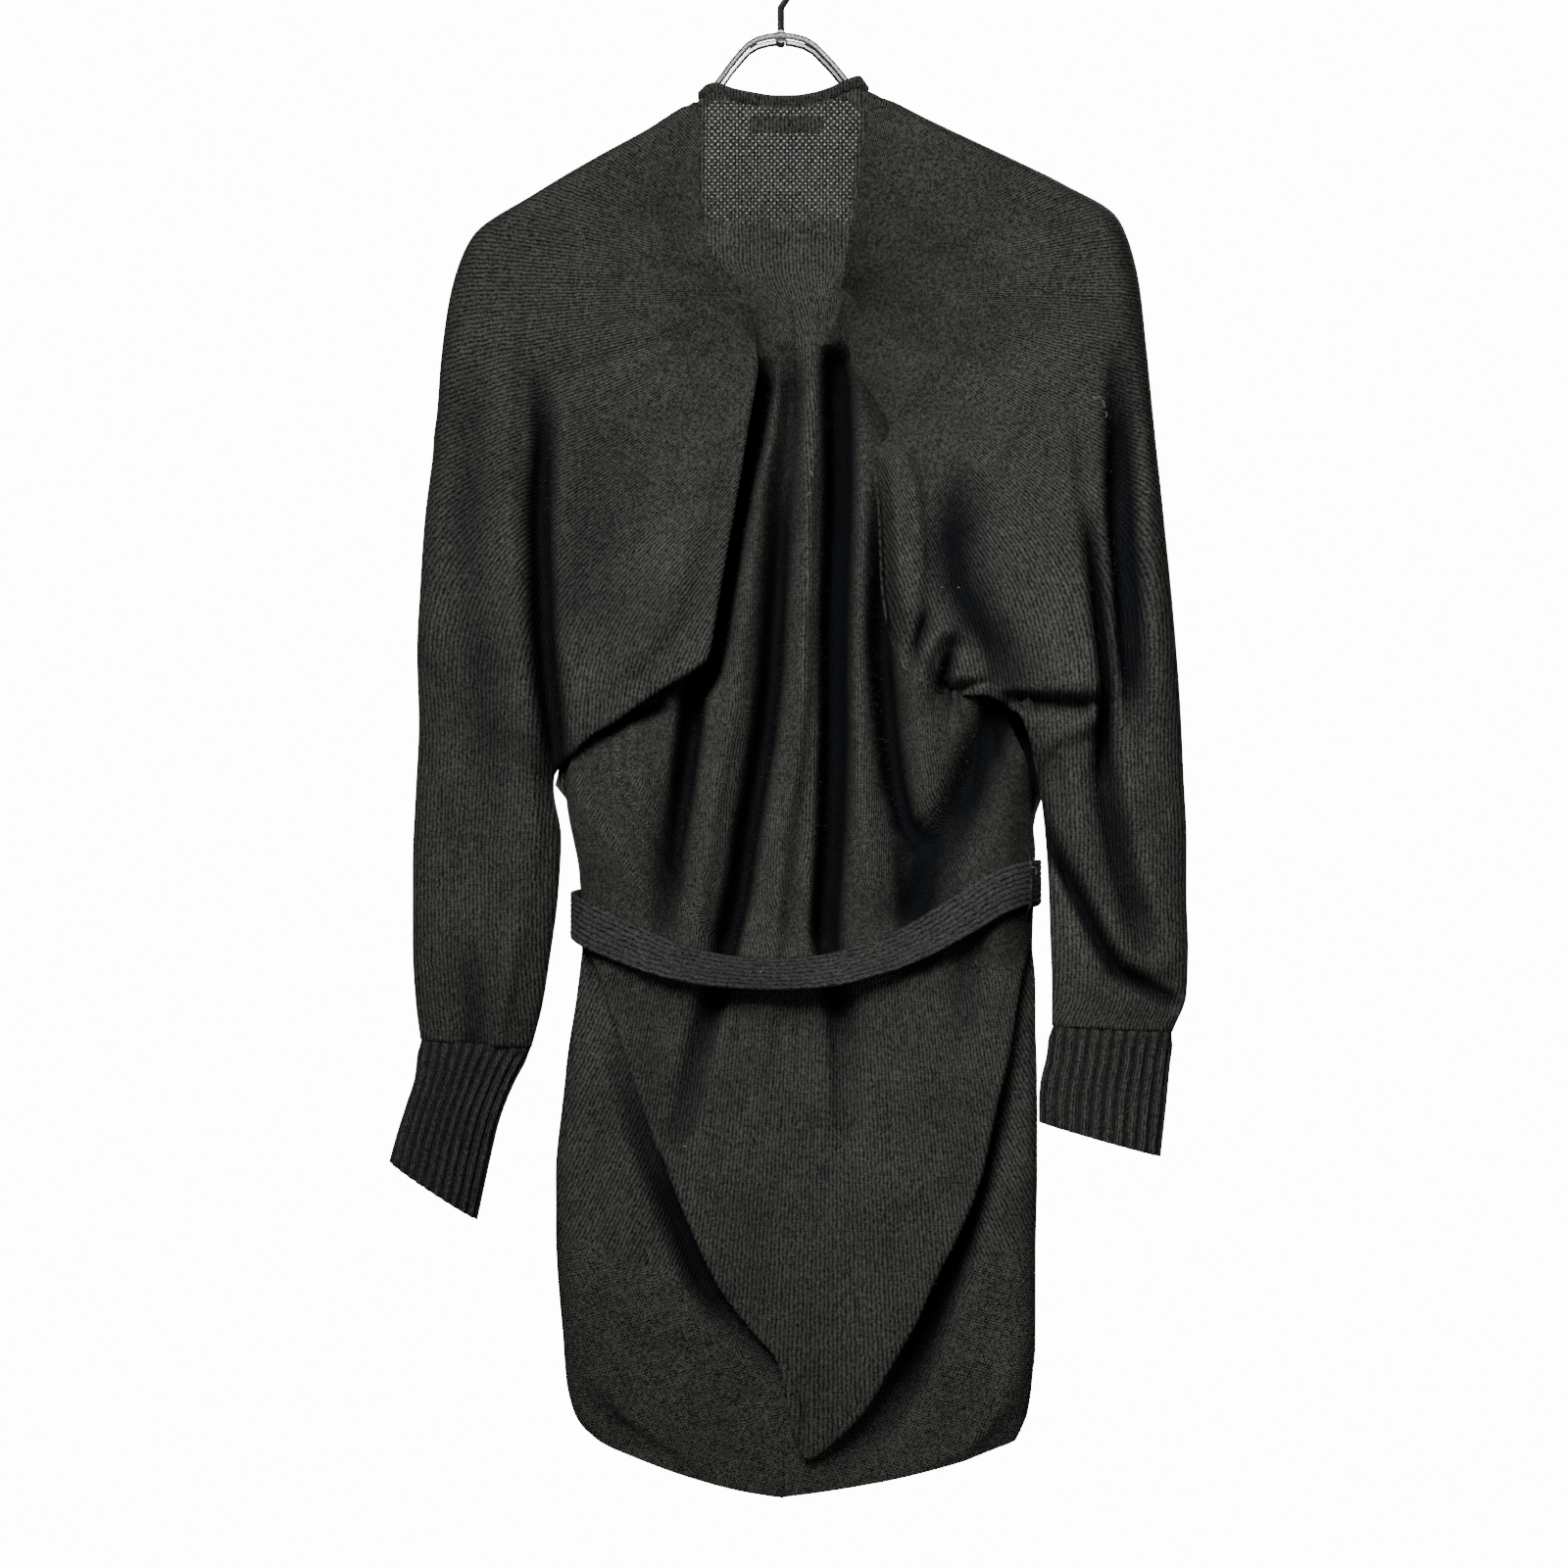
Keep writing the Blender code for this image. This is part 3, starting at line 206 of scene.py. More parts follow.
def side_round(x, drop, reach=SIDE_ROUND):
    """0 at the body's side outline and 1 inside it, along a quarter of an ellipse."""
    left = column(BODY_SIDES, "left", drop, "drop")
    right = column(BODY_SIDES, "right", drop, "drop")
    inside = np.clip(np.minimum(x - left, right - x) / reach, 0, 1)
    return np.sqrt(1 - (1 - inside) ** 2)


# The back: neck panel, gathered centre, pleats, and the pointed panel below the belt

BackRow = namedtuple("BackRow", "drop left right proud")
BACK_ROWS = table(BackRow, """
    4 -53 56 17
    37 -51 53 17.5
    74 -51 48 18.5
    100 -47 43 19.2
    118 -36 41 19.7
    131 -25 38 20
    151 -17 37 20
    164 -17 37 20
    213 -33 62 20
    263 -54 87 20
    314 -74 106 20
    364 -99 128 20
    408 -119 147 20.5
    446 -138 160 23
    503 -129 163 24
    547 -127 161 26
    610 -127 161 29
    698 -127 161 31
    881 -127 161 31
""")
Edge = namedtuple("Edge", "x drop")
POINTED_EDGE = table(Edge, """
    -127 544, -117 563, -99 610, -79 668, -67 699, -49 742, -35 769, -16 794, 1 815, 9 847, 16 874,
    33 863, 52 843, 68 816, 84 788, 96 761, 109 736, 125 696, 134 654, 144 614, 151 575, 161 541
""")
NECK_DIP = 5              # how far the back neck edge sags below its ends
POINT_TOP = 544           # where the pointed panel's edges begin
POINT_RUN = 60            # how far above that the back starts to take on their width
POINT_LIP = 12            # length of the cloth turned in along them
BACK_TURNS = (383, 446)   # drops between which the sides begin to turn round the body
FRONT_TURNS = (402, 446)  # and the same on the fronts
PLEATS = fold_table("""
    first valley -30 9 7: -9 173 0, -11 194 0.8, -17 226 1, -24 257 1, -30 289 1, -35 320 1, -40 352 1,
    -45 374 1, -54 389 1, -57 415 1, -61 446 0.9, -65 478 0.7, -69 509 0.5, -72 537 0.3, -75 556 0;
    first ridge 7 7 7: -1 185 0.3, -5 226 0.6, -12 257 0.8, -17 289 0.9, -20 320 0.9, -25 358 0.9,
    -28 383 0.9, -33 415 0.9, -41 446 1, -46 478 1, -50 509 1, -54 541 0.9, -58 563 0.4, -61 591 0;
    second valley -26 10 7: 8 174 0.2, 8 194 0.5, 6 226 0.45, 3 257 0.5, 1 289 0.7, -1 320 0.85,
    -3 352 0.95, -5 383 1, -9 415 1.05, -14 446 1.05, -20 478 1.1, -24 509 1.1, -31 541 1.1,
    -38 572 0.7, -47 604 0.5, -55 635 0.35, -61 667 0.22, -64 685 0;
    centre ridge 9 10 6: 20 176 0.4, 20 194 0.8, 20 226 1, 18 257 1, 16 320 1, 14 383 1, 11 415 1,
    7 446 1, 2 478 1, -1 509 0.95, -4 541 0.8, -8 572 0.5, -9 610 0.3, -11 673 0;
    centre valley -32 6.5 12: 31 165 0, 33 176 0.7, 34 194 1, 35 226 1, 35 257 1, 34 289 1, 33 320 1,
    32 352 1, 32 383 1, 32 415 1, 31 446 1, 30 478 1, 28 509 1, 26 541 0.95, 31 572 0.45, 37 604 0.3,
    38 635 0.2, 40 685 0;
    third ridge 8 8 10: 45 181 0.2, 47 226 0.6, 48 257 0.8, 47 320 1, 47 383 1, 49 415 1, 51 446 1,
    54 478 1, 57 509 0.9, 59 541 0.7, 60 572 0.3, 62 622 0;
    fourth valley -28 9 7: 68 238 0, 67 263 0.3, 66 289 0.55, 66 320 0.9, 65 352 1, 67 383 1, 70 415 1,
    74 446 1, 80 470 0.8, 91 481 0.4, 104 483 0;
    low valley -15 9 18: 76 468 0, 81 490 0.9, 83 522 1, 84 547 0.7, 84 569 0;
    drape 17 8 17: 81 370 0.7, 85 383 1, 90 415 0.85, 93 446 0.5, 94 472 0.1;
    right hollow -17 14 16: 159 383 1, 140 402 1, 127 430 0.9, 117 459 0.9, 108 484 0.7, 100 509 0.5,
    93 531 0.2;
    right swell 8 14 9: 154 422 0.3, 149 452 1, 145 478 1, 140 501 0.7;
    left swell 7 22 8: -93 408 0.4, -88 440 0.9, -86 478 1, -89 509 0.8, -93 537 0.2;
    left pocket -12 5 5: -125 415 0.3, -112 406 0.9, -93 401 1, -77 397 0.6;
    left arch 4 4 4: -105 397 0.3, -93 388 1, -72 389 0.9;
    under the belt 11 30 9: -99 542 0.5, -61 556 1, 2 563 1, 65 550 1, 115 528 0.8, 153 512 0.3;
    small pocket -9 3 4.5: 95 334 0.1, 90 346 1, 86 359 1, 83 372 0.3;
    arch 7 5 6: 88 391 0.6, 91 368 0.9, 100 352 1, 112 347 1, 123 355 1;
    arch pocket -12 4.5 5: 110 359 0.4, 106 370 1, 103 384 1, 110 393 0.9;
    skirt swell 4 22 22: 81 572 0.6, 84 622 1, 81 673 0.6, 74 717 0;
    skirt right hollow -10 11 10: 122 525 1, 119 566 0.8, 117 604 0.4, 113 635 0;
    skirt left hollow -5 12 14: -99 578 0.5, -85 622 1, -71 667 0.6;
    left corner crease 2.6 3 5: -70 680 0.9, -52 692 1, -28 706 0.3;
    left corner dip -2.4 4 3: -71 673 1, -61 680 0.9, -47 685 0;
    level crease 2 5 4: 55 718 0.3, 81 709 1, 106 696 0.9;
    level dip -1.6 4 6: 55 723 0.2, 81 716 1, 104 706 0.6;
    long line -0.9 1.5 7: 9 578 0.7, 11 629 1, 12 679 0.3;
    rib line -1.0 0.9 0.9: 12 823 0.6, 40 824 1, 70 820 0.6;
    tip edge -4 4 3: 9 821 0.3, 16 843 1, 13 868 0.6;
    level at the gather -2.2 2.2 2.2: -17 159 0.7, -9 176 1, -8 189 0
""")
Spread = namedtuple("Spread", "share place")
# Share of the columns against share of the width, closest where the pleats are
BACK_ACROSS = table(Spread, """
    0 0, 0.025 0.007, 0.05 0.026, 0.075 0.055, 0.1 0.09, 0.16 0.2, 0.84 0.74, 0.9 0.91, 0.925 0.945,
    0.95 0.974, 0.975 0.993, 1 1
""")
# Share of the rows against share of the length, closest at the gathered point
BACK_DOWN = table(Spread, "0 0, 0.12 0.14, 0.32 0.24, 0.56 0.48, 1 1")


def proud_back(x, drop):
    """How far the back's middle surface stands in front of the hanger's middle plane."""
    level = column(BACK_ROWS, "proud", drop, "drop")
    turned = ramp(drop, *BACK_TURNS)
    sides = 1 - turned * (1 - side_round(x, drop))
    return sides * (level + folded(PLEATS, x, drop)) + SIDE_GAP


def spread(rows, count):
    return column(rows, "place", np.linspace(0, 1, count + 1), "share")


def back_grid(columns, rows, lip_steps):
    """Rows of points from the neck down to the pointed lower edge, then round its folded lip."""
    across = spread(BACK_ACROSS, columns)
    left_end, right_end = POINTED_EDGE[0].x, POINTED_EDGE[-1].x
    end_x = left_end + across * (right_end - left_end)
    end_drop = smooth([e.x for e in POINTED_EDGE], [e.drop for e in POINTED_EDGE], end_x)
    grid = []
    for v in spread(BACK_DOWN, rows):
        top = BACK_ROWS[0].drop + NECK_DIP * (1 - (2 * across - 1) ** 2)
        drop = top + (end_drop - FOLD_RADIUS - top) * v
        left = column(BACK_ROWS, "left", drop, "drop")
        right = column(BACK_ROWS, "right", drop, "drop")
        x = left + across * (right - left)
        below = ramp(drop, POINT_TOP - POINT_RUN, POINT_TOP)
        x = x * (1 - below) + end_x * below
        grid.append(np.stack([x, drop, proud_back(x, drop)], axis=-1))
    turned = ramp(side_round(grid[-1][:, 0], grid[-1][:, 1]), 0, 1)
    return np.array(grid + folded_edge(grid[-1], grid[-2], 1, lip_steps, POINT_LIP, turned))


def folded_edge(edge, before, facing, steps, length, turned):
    """Rows that carry a sheet past its edge, round a fold and back inside. Where turned is 1 the
    cloth turns right back, and where it is 0 it only runs on a little. Facing is 1 on the back
    and -1 on the front."""
    turned = np.clip(turned * np.ones(len(edge)), 0.02, 1)[:, None]
    ahead = edge - before
    ahead /= np.linalg.norm(ahead, axis=1)[:, None]
    along = np.gradient(edge, axis=0)
    along /= np.linalg.norm(along, axis=1)[:, None]
    ahead -= along * (ahead * along).sum(axis=1)[:, None]
    ahead /= np.linalg.norm(ahead, axis=1)[:, None]
    inward = np.array([0, 0, -1.0 * facing]) - ahead * (ahead[:, 2:] * -facing)
    inward /= np.linalg.norm(inward, axis=1)[:, None]
    run = math.pi * FOLD_RADIUS * (0.3 + 0.7 * turned)
    angle = math.pi * turned
    rows = []
    for k in range(1, steps + 1):
        turn = angle * k / steps
        rows.append(edge + run / angle * (np.sin(turn) * ahead + (1 - np.cos(turn)) * inward))
    under = rows[-1] + length * turned * (np.cos(angle) * ahead + np.sin(angle) * inward)
    return rows + [under]


# The sleeves: each is one knitted piece, from the cuff up the arm, over the shoulder and on to the
# gathered centre back. It wraps over the shoulder from its back edge to its front edge.

Station = namedtuple(
    "Station",
    "inner_x inner_drop outer_x outer_drop front_x front_drop back front open shoulder")
LEFT_SLEEVE = table(Station, """
    -161 615 -231 610 -161 615 13 13 0 46
    -154 588 -234 585 -154 588 19 18 0 46
    -149 556 -236 547 -149 556 22 21 0 46
    -144 518 -236 501 -144 518 24 22 0 46
    -142 481 -234 452 -142 481 25 22.5 0 46
    -148 447 -232 407 -147 447 27 23 0.1 46
    -130 423 -233 363 -139 408 36.5 24.4 0.8 46
    -108 405 -231 320 -133 377 38 24 1 46
    -81 386 -228 276 -127 345 39 23.4 1 46
    -58 372 -223 236 -121 318 40 23 1 46
    -50 366 -222 222 -119 310 40 23 1 46
    -47 358 -220 206 -117 301 40 22.8 1 46
    -44 340 -218 178 -112 281 40 22.4 1 44
    -38 304 -212 134 -105 251 38 22 1 34
    -30 260 -198 96 -98 213 36 21.3 1 20
    -23 216 -159 69 -89 172 33 20.4 1 14
    -17 178 -117 44 -81 131 29 19.4 1 12
    -20 153 -83 25 -71 90 25 18.4 1 11
    -27 129 -56 7 -60 46 20.5 17.5 1 9
""")
RIGHT_SLEEVE = table(Station, """
    175 601 251 605 175 601 13 13 0 46
    175 575 260 580 175 575 18 18 0 46
    174 544 261 550 174 544 21 20 0 46
    173 512 260 518 173 512 23 21 0 46
    171 481 260 484 171 481 25 22 0 46
    167 446 258 440 167 446 27 23 0.1 46
    159 416 256 397 159 405 32 24.4 0.75 46
    146 393 253 355 154 377 35 24 1 46
    127 387 249 311 149 348 37 23.6 1 46
    106 386 244 263 142 320 38 23.2 1 46
    86 377 239 216 135 289 38 22.8 1 44
    73 353 234 166 129 257 37 22.2 1 40
    67 317 229 123 120 222 36 21.6 1 30
    65 276 216 84 112 185 35 20.8 1 20
    60 232 181 62 103 144 32 20 1 15
    52 194 140 42 92 106 29 19 1 12
    45 164 100 23 79 71 25 18 1 11
    41 134 60 4 65 40 21 17.5 1 9
""")
LEFT_SLEEVE_FOLDS = fold_table("""
    flap valley -27 4.5 11: -156 176 0, -154 197 0.3, -153 219 0.55, -154 244 0.75, -156 276 0.85,
    -155 307 0.9, -154 345 0.9, -151 383 0.95, -147 415 0.9, -144 437 0.6;
    sleeve ridge 7 10 6: -173 144 0.2, -173 194 0.9, -172 244 1, -170 295 1, -166 345 1, -163 396 0.9,
    -157 446 0.7, -156 490 0.4;
    sleeve hollow -8 16 12: -195 163 0, -197 213 0.8, -198 270 1, -196 320 0.7, -189 370 0.9,
    -184 421 0.8, -180 478 0.3;
    low hollow -8 10 7: -195 541 0, -195 578 0.9, -194 610 1, -193 621 0.8;
    low ridge 4 6 6: -164 503 0.3, -168 541 0.9, -175 578 1, -182 616 0.6;
    side hollow -2.5 4 5: -215 427 0, -213 478 1, -211 528 0.3;
    flap swell 6 20 9: -37 207 0.1, -47 257 0.6, -59 301 1, -69 339 1, -89 363 0.8, -118 386 0.3;
    flap hollow -6 28 26: -99 213 0.4, -115 270 1, -124 333 0.8, -130 370 0.3;
    gather crease -2.2 3 4: -140 192 0.6, -120 182 1, -93 170 0.9, -50 157 0.8, -18 147 0.4;
    gather ridge 1.7 5 4: -130 178 0.3, -93 161 1, -42 145 0.7, -4 139 0.3;
    second crease -1.7 4 5: -118 212 0.2, -86 193 0.9, -52 176 0.8, -20 159 0.4;
    upper crease -1.8 3.5 3.5: -99 117 0.2, -61 121 0.9, -14 130 1, 11 134 0.3;
    upper ridge 1.4 4 4: -99 126 0.2, -49 131 1, 2 137 0.4;
    fine crease -1.2 2.6 3: -86 150 0.5, -49 142 1, -4 136 0.5
""")
RIGHT_SLEEVE_FOLDS = fold_table("""
    sleeve valley -24 8 13: 215 163 0, 214 194 0.4, 214 226 0.75, 214 257 1, 215 289 1, 218 320 1,
    220 352 0.9, 222 377 0.7, 225 408 0.1;
    flap side -22 4 6: 195 270 0, 197 295 0.6, 200 326 1, 203 352 1, 206 383 1, 205 411 1, 205 430 0.5,
    206 446 0;
    arm hollow -15 9 10: 204 408 0.3, 207 440 0.9, 212 471 1, 219 503 1, 227 528 0.9, 235 547 0.5,
    244 563 0;
    flap ridge 8 22 5: 177 200 0.2, 181 238 0.7, 184 276 0.9, 188 314 1, 193 352 1, 197 383 1;
    flap dent -11 13 19: 122 249 0.1, 113 270 0.8, 110 295 1, 113 320 1, 124 342 1, 137 360 0.9,
    144 377 0.7;
    rolled edge 7 10 3.6: 65 185 0.15, 75 226 0.7, 84 257 1, 88 295 1, 87 326 0.8, 81 352 0.4;
    small pocket -10 3 4.5: 95 334 0.1, 90 346 1, 86 359 1, 83 372 0.3;
    arch 9 5 6: 88 386 0.6, 91 365 0.9, 100 350 1, 112 346 1, 123 355 1, 130 375 0.6;
    arch pocket -14 4.5 5: 110 359 0.4, 106 370 1, 103 383 1, 109 391 0.9;
    flap ledge 8 3 24: 123 385 0, 147 385 0.6, 175 386 1, 202 388 0.9;
    ledge pocket -11.5 5 6: 147 393 0.9, 164 395 1, 181 396 1, 193 396 1;
    ledge return 6 5 4: 203 394 0.8, 196 408 1, 176 416 0.9, 167 426 0.4;
    arm swell 6 7 7: 182 426 0.6, 186 446 1, 191 478 1, 198 509 1, 208 534 0.9, 217 548 0.4;
    arm valley -18 6 6: 163 440 0.5, 168 471 0.9, 178 495 1, 189 515 1, 199 536 1, 207 552 1, 216 566 1,
    231 574 0.9, 251 586 0.6;
    arm fold 5 4 9: 203 537 0.2, 222 556 1, 241 563 0.8;
    low swell 4 9 9: 188 547 0.4, 197 572 1, 210 588 0.4;
    flat diamond -3 20 20: 128 188 1, 128 219 0.8;
    diamond edge 1.6 4 6: 68 153 0.4, 115 170 1, 159 194 0.9, 147 226 0.6, 130 244 0.3;
    gather crease -2.4 3.5 3: 45 153 0.8, 84 164 1, 128 176 0.8, 166 197 0.3;
    second crease -1.8 3 3: 52 142 0.7, 103 150 1, 159 163 0.4;
    upper crease -1.8 3 3: 43 131 0.8, 68 122 1, 115 107 0.5, 166 100 0.1;
    upper ridge 1.5 4 4: 46 125 0.6, 84 107 1, 134 90 0.3;
    short crease -2.2 2.4 2.4: 37 155 0.6, 43 168 1, 52 184 0.4
""")
FLAP_LIP = 10             # length of the cloth turned in along a flap's edge
FLAP_STARTS = (5.4, 7)    # stations between which the flap's edge begins to turn in
FLAP_ENDS = (2.2, 0.8)    # stations before the last one between which it turns in less
FLAP_KEPT = (5.6, 1)      # the lip runs from this station to this many before the last one


def sleeve_depth(q, width, belly, opened, shoulder):
    """Height over the middle plane at q, from 0 at the outer edge to 1 at the inner one: a closed
    tube down the arm, and open at the inner edge where the sleeve becomes the body's flap."""
    tube = belly * 2 * np.sqrt(np.clip(q * (1 - q), 0, 1)) + SIDE_GAP * q
    inside = np.clip(q * width / shoulder, 0, 1)
    flap = belly * np.sqrt(1 - (1 - inside) ** 2)
    return tube * (1 - opened) + flap * opened


def sleeve_half(rows, folds, at, q, facing):
    """A half sheet of points from the outer edge (q 0) to the inner edge (q 1): the back half
    where facing is 1, the front half where it is -1."""
    value = {name: column(rows, name, at)[:, None] for name in Station._fields}
    side = ("inner_x", "inner_drop", "back") if facing > 0 else ("front_x", "front_drop", "front")
    inner_x, inner_drop, belly = (value[name] for name in side)
    run, fall = inner_x - value["outer_x"], inner_drop - value["outer_drop"]
    x = value["outer_x"] + run * q
    drop = value["outer_drop"] + fall * q
    proud = sleeve_depth(q, np.hypot(run, fall), belly, value["open"], value["shoulder"])
    if facing > 0:
        shut = 1 - value["open"]
        fade = np.clip(q / 0.1, 0, 1) * (1 - shut * np.clip((q - 0.88) / 0.12, 0, 1))
        proud = proud + fade * folded(folds, x, drop)
    return np.stack([x, drop, facing * proud], axis=-1)


def turns(count, reach):
    """Shares from 0 to reach, closer together at 0 and also at a reach of 1."""
    t = np.linspace(0, 1, count + 1)
    return (1 - np.cos(np.pi * t)) / 2 * reach


def sleeve_grid(rows, folds, along, back_count, front_count, lip_steps):
    """Columns of points from the folded lip of the back edge, over the shoulder, to the front
    edge, and a matching map of the cells to keep: the lip only runs along the open flap."""
    last = len(rows) - 1
    at = np.linspace(0, last, along + 1)
    back = sleeve_half(rows, folds, at, turns(back_count, 1), 1)
    front = sleeve_half(rows, folds, at, turns(front_count, 1), -1)
    less = ramp(at, last - FLAP_ENDS[0], last - FLAP_ENDS[1])
    turned = ramp(at, *FLAP_STARTS) * (1 - 0.7 * less)
    lip = folded_edge(back[:, -1], back[:, -2], 1, lip_steps, FLAP_LIP, turned)
    columns = lip[::-1] + [back[:, k] for k in range(back_count, -1, -1)]
    columns += [front[:, k] for k in range(1, front_count + 1)]
    keep = np.ones((len(columns) - 1, along), bool)
    middle = (at[1:] + at[:-1]) / 2
    keep[:lip_steps + 1] = (middle > FLAP_KEPT[0]) & (middle < last - FLAP_KEPT[1])
    return np.array(columns), keep


# The wrapped hem on the back, below the pointed panel: a left and a right half

HemRow = namedtuple("HemRow", "outer_x outer_drop inner_x inner_drop proud")
LEFT_HEM = table(HemRow, """
    -127 552 -110 554 3
    -130 578 -94 578 7
    -135 613 -76 619 13
    -140 654 -57 660 17
    -144 698 -36 707 18.5
    -143 748 -12 752 19
    -140 789 2 786 19
    -137 830 4 837 19
    -130 854 0 874 19
    -120 864 -1 901 19
""")
RIGHT_HEM = table(HemRow, """
    161 552 144 554 3
    163 578 132 578 7
    163 613 120 619 13
    164 654 109 660 17
    164 698 93 707 18.5
    163 748 66 752 19
    163 789 41 786 19
    161 827 8 837 19
    158 849 1 874 19
    151 866 0 901 19
""")
HEM_SAG = 5               # how far the bottom edge bows down between its ends
LEFT_HEM_FOLDS = fold_table("""
    hem shadow -15 11 18: -106 604 0, -99 626 0.35, -89 660 0.55, -80 689 0.7, -69 717 0.9, -58 742 1,
    -50 762 1, -38 779 0.8, -19 796 0.5, 6 824 0.2;
    turned corner 5 5 6: -115 824 0.3, -99 847 1, -81 859 1, -61 872 1, -39 886 0.7, -17 895 0.4;
    corner hollow -4.5 6 7: -127 824 0.4, -117 840 1, -101 856 1, -80 871 0.5;
    slant crease -1.4 4 6: -108 755 0.3, -115 786 0.8, -113 818 0.3;
    centre pinch 3.5 8 3: 0 881 0.2, 1 890 1, 0 902 1
""")
RIGHT_HEM_FOLDS = fold_table("""
    hem shadow -15 16 12: 146 604 0, 140 635 0.4, 134 667 0.65, 125 698 0.85, 116 730 1, 106 761 1,
    94 793 0.95, 82 824 0.75, 66 852 0.55, 41 874 0.3, 24 881 0;
    turned corner 6 6 5: 153 793 0.3, 149 818 0.9, 140 842 1, 129 857 1, 115 871 0.9, 90 879 0.4,
    65 886 0.2;
    corner hollow -4.5 6 5: 156 824 0.4, 149 849 1, 138 869 1, 125 877 0.4;
    side hollow -2.5 10 12: 153 572 0.3, 147 648 1, 140 730 0.4
""")


def hem_grid(rows, folds, down, across, sign):
    """Rows of points down from under the pointed panel, from the side in to the centre back. Sign
    is 1 for the left half and -1 for the right one."""
    grid = []
    for at in np.linspace(0, len(rows) - 1, down + 1):
        row = row_at(rows, at)
        width = abs(row.inner_x - row.outer_x) - SEAM
        away = side_places(width, across, 0.8 * SIDE_ROUND)
        share = away / width
        x = row.outer_x + sign * away
        sag = HEM_SAG * math.sin(math.pi / 2 * ramp(at, len(rows) - 3, len(rows) - 1))
        drop = row.outer_drop + (row.inner_drop - row.outer_drop) * share
        drop = drop + sag * np.sin(np.pi * share)
        turned = np.sqrt(1 - (1 - np.clip(away / (0.8 * SIDE_ROUND), 0, 1)) ** 2)
        proud = turned * (row.proud + folded(folds, x, drop)) + SIDE_GAP
        grid.append(np.stack([x, drop, proud], axis=-1))
    return np.array(grid)


# The fronts: the right one laps over the left, and both hang from the sleeves' front edges

FrontRow = namedtuple("FrontRow", "drop left_outer left_inner right_inner right_outer proud")
FRONT_ROWS = table(FrontRow, """
    48 -59 -53 56 64 17.5
    71 -65 -50 54 72 18
    93 -71 -37 41 88 18.5
    113 -76 -9 12 94 19
    137 -81 16 -13 101 19.5
    175 -89 41 -38 110 20.5
    226 -99 59 -57 120 21.5
    289 -113 68 -67 134 22.5
    352 -127 70 -70 148 23.5
    408 -137 69 -69 159 24.5
    446 -138 67 -67 160 25
    503 -129 65 -64 163 25.5
    541 -127 65 -64 161 25.5
    635 -138 68 -67 164 25
    730 -144 68 -69 163 24
    805 -139 65 -66 163 23
    843 -134 60 -61 158 22.5
    863 -122 55 -56 153 22
""")
LAP = 6                   # how far the right front lies over the left
FRONT_SEAM = 1.8          # from a sleeve's front edge to the front's outer edge
FRONT_SAG = 14            # how far the fronts' bottom edge bows down
FRONT_FOLDS = fold_table("""
    left long fold -4 12 16: -86 333 0, -93 421 1, -89 509 0.8, -93 604 0.4;
    right long fold -4 16 12: 118 320 0, 122 408 1, 118 509 0.8, 123 610 0.4;
    waist fold -3 10 12: -23 383 0, -33 459 1, -30 528 0.8, -39 604 0.3;
    second waist fold -3 12 10: 33 377 0, 47 459 1, 45 528 0.8, 52 622 0.3;
    skirt swell 3 24 24: 2 572 0, -1 667 1, 2 824 0.8;
    left skirt fold 3 16 16: -93 559 0.3, -99 648 1, -102 824 0.6;
    right skirt fold 3 16 16: 118 559 0.3, 128 648 1, 131 824 0.6
""")


def proud_front(x, drop):
    level = column(FRONT_ROWS, "proud", drop, "drop") + folded(FRONT_FOLDS, x, drop)
    turned = ramp(drop, *FRONT_TURNS)
    return level * (1 - turned * (1 - side_round(x, drop))) + SIDE_GAP * turned


def seam_x(sleeve, drop):
    """Where a sleeve's front edge runs, at a given drop."""
    rows = sorted(sleeve[5:], key=lambda row: row.front_drop)
    return float(column(rows, "front_x", drop, "front_drop"))


def front_grid(name, sleeve, down, across):
    """Rows of points from the neck down, from the outer edge to the front edge."""
    sign = 1 if name == "left" else -1
    grid = []
    for share in np.linspace(0, 1, down + 1):
        drop = FRONT_ROWS[0].drop + (FRONT_ROWS[-1].drop - FRONT_ROWS[0].drop) * share
        outer = float(column(FRONT_ROWS, name + "_outer", drop, "drop"))
        if drop < sleeve[5].front_drop:
            outer = seam_x(sleeve, drop) + sign * FRONT_SEAM
        inner = float(column(FRONT_ROWS, name + "_inner", drop, "drop"))
        away = side_places(abs(inner - outer), across)
        x = outer + sign * away
        low = drop + FRONT_SAG * ramp(share, 0.8, 1) * np.sin(np.pi / 2 * away / away[-1])
        proud = proud_front(x, np.minimum(low, FRONT_ROWS[-1].drop))
        if name == "right":
            proud = proud + LAP * (1 - ramp(x, 68, 118))
        grid.append(np.stack([x, low, -proud], axis=-1))
    return np.array(grid)


# The cuffs: a ribbed tube between two edges

CuffRow = namedtuple("CuffRow", "outer_x outer_drop inner_x inner_drop depth")
LEFT_CUFF = table(CuffRow, """
    -233 633 -174 639 11.5
    -239 653 -183 662 11.5
    -245 672 -189 687 11.5
    -250 690 -197 725 12
""")
RIGHT_CUFF = table(CuffRow, """
    248 627 173 620 11.5
    246 648 169 638 11.5
    244 667 168 651 11.5
    242 685 168 664 12
""")


def cuff_rows(sleeve, rows):
    """The cuff's rows, with one in front for where it is sewn to the end of its sleeve."""
    end = sleeve[0]
    top = CuffRow(end.outer_x, end.outer_drop + CUFF_SEAM, end.inner_x, end.inner_drop + CUFF_SEAM,
                  end.back)
    return [top] + rows


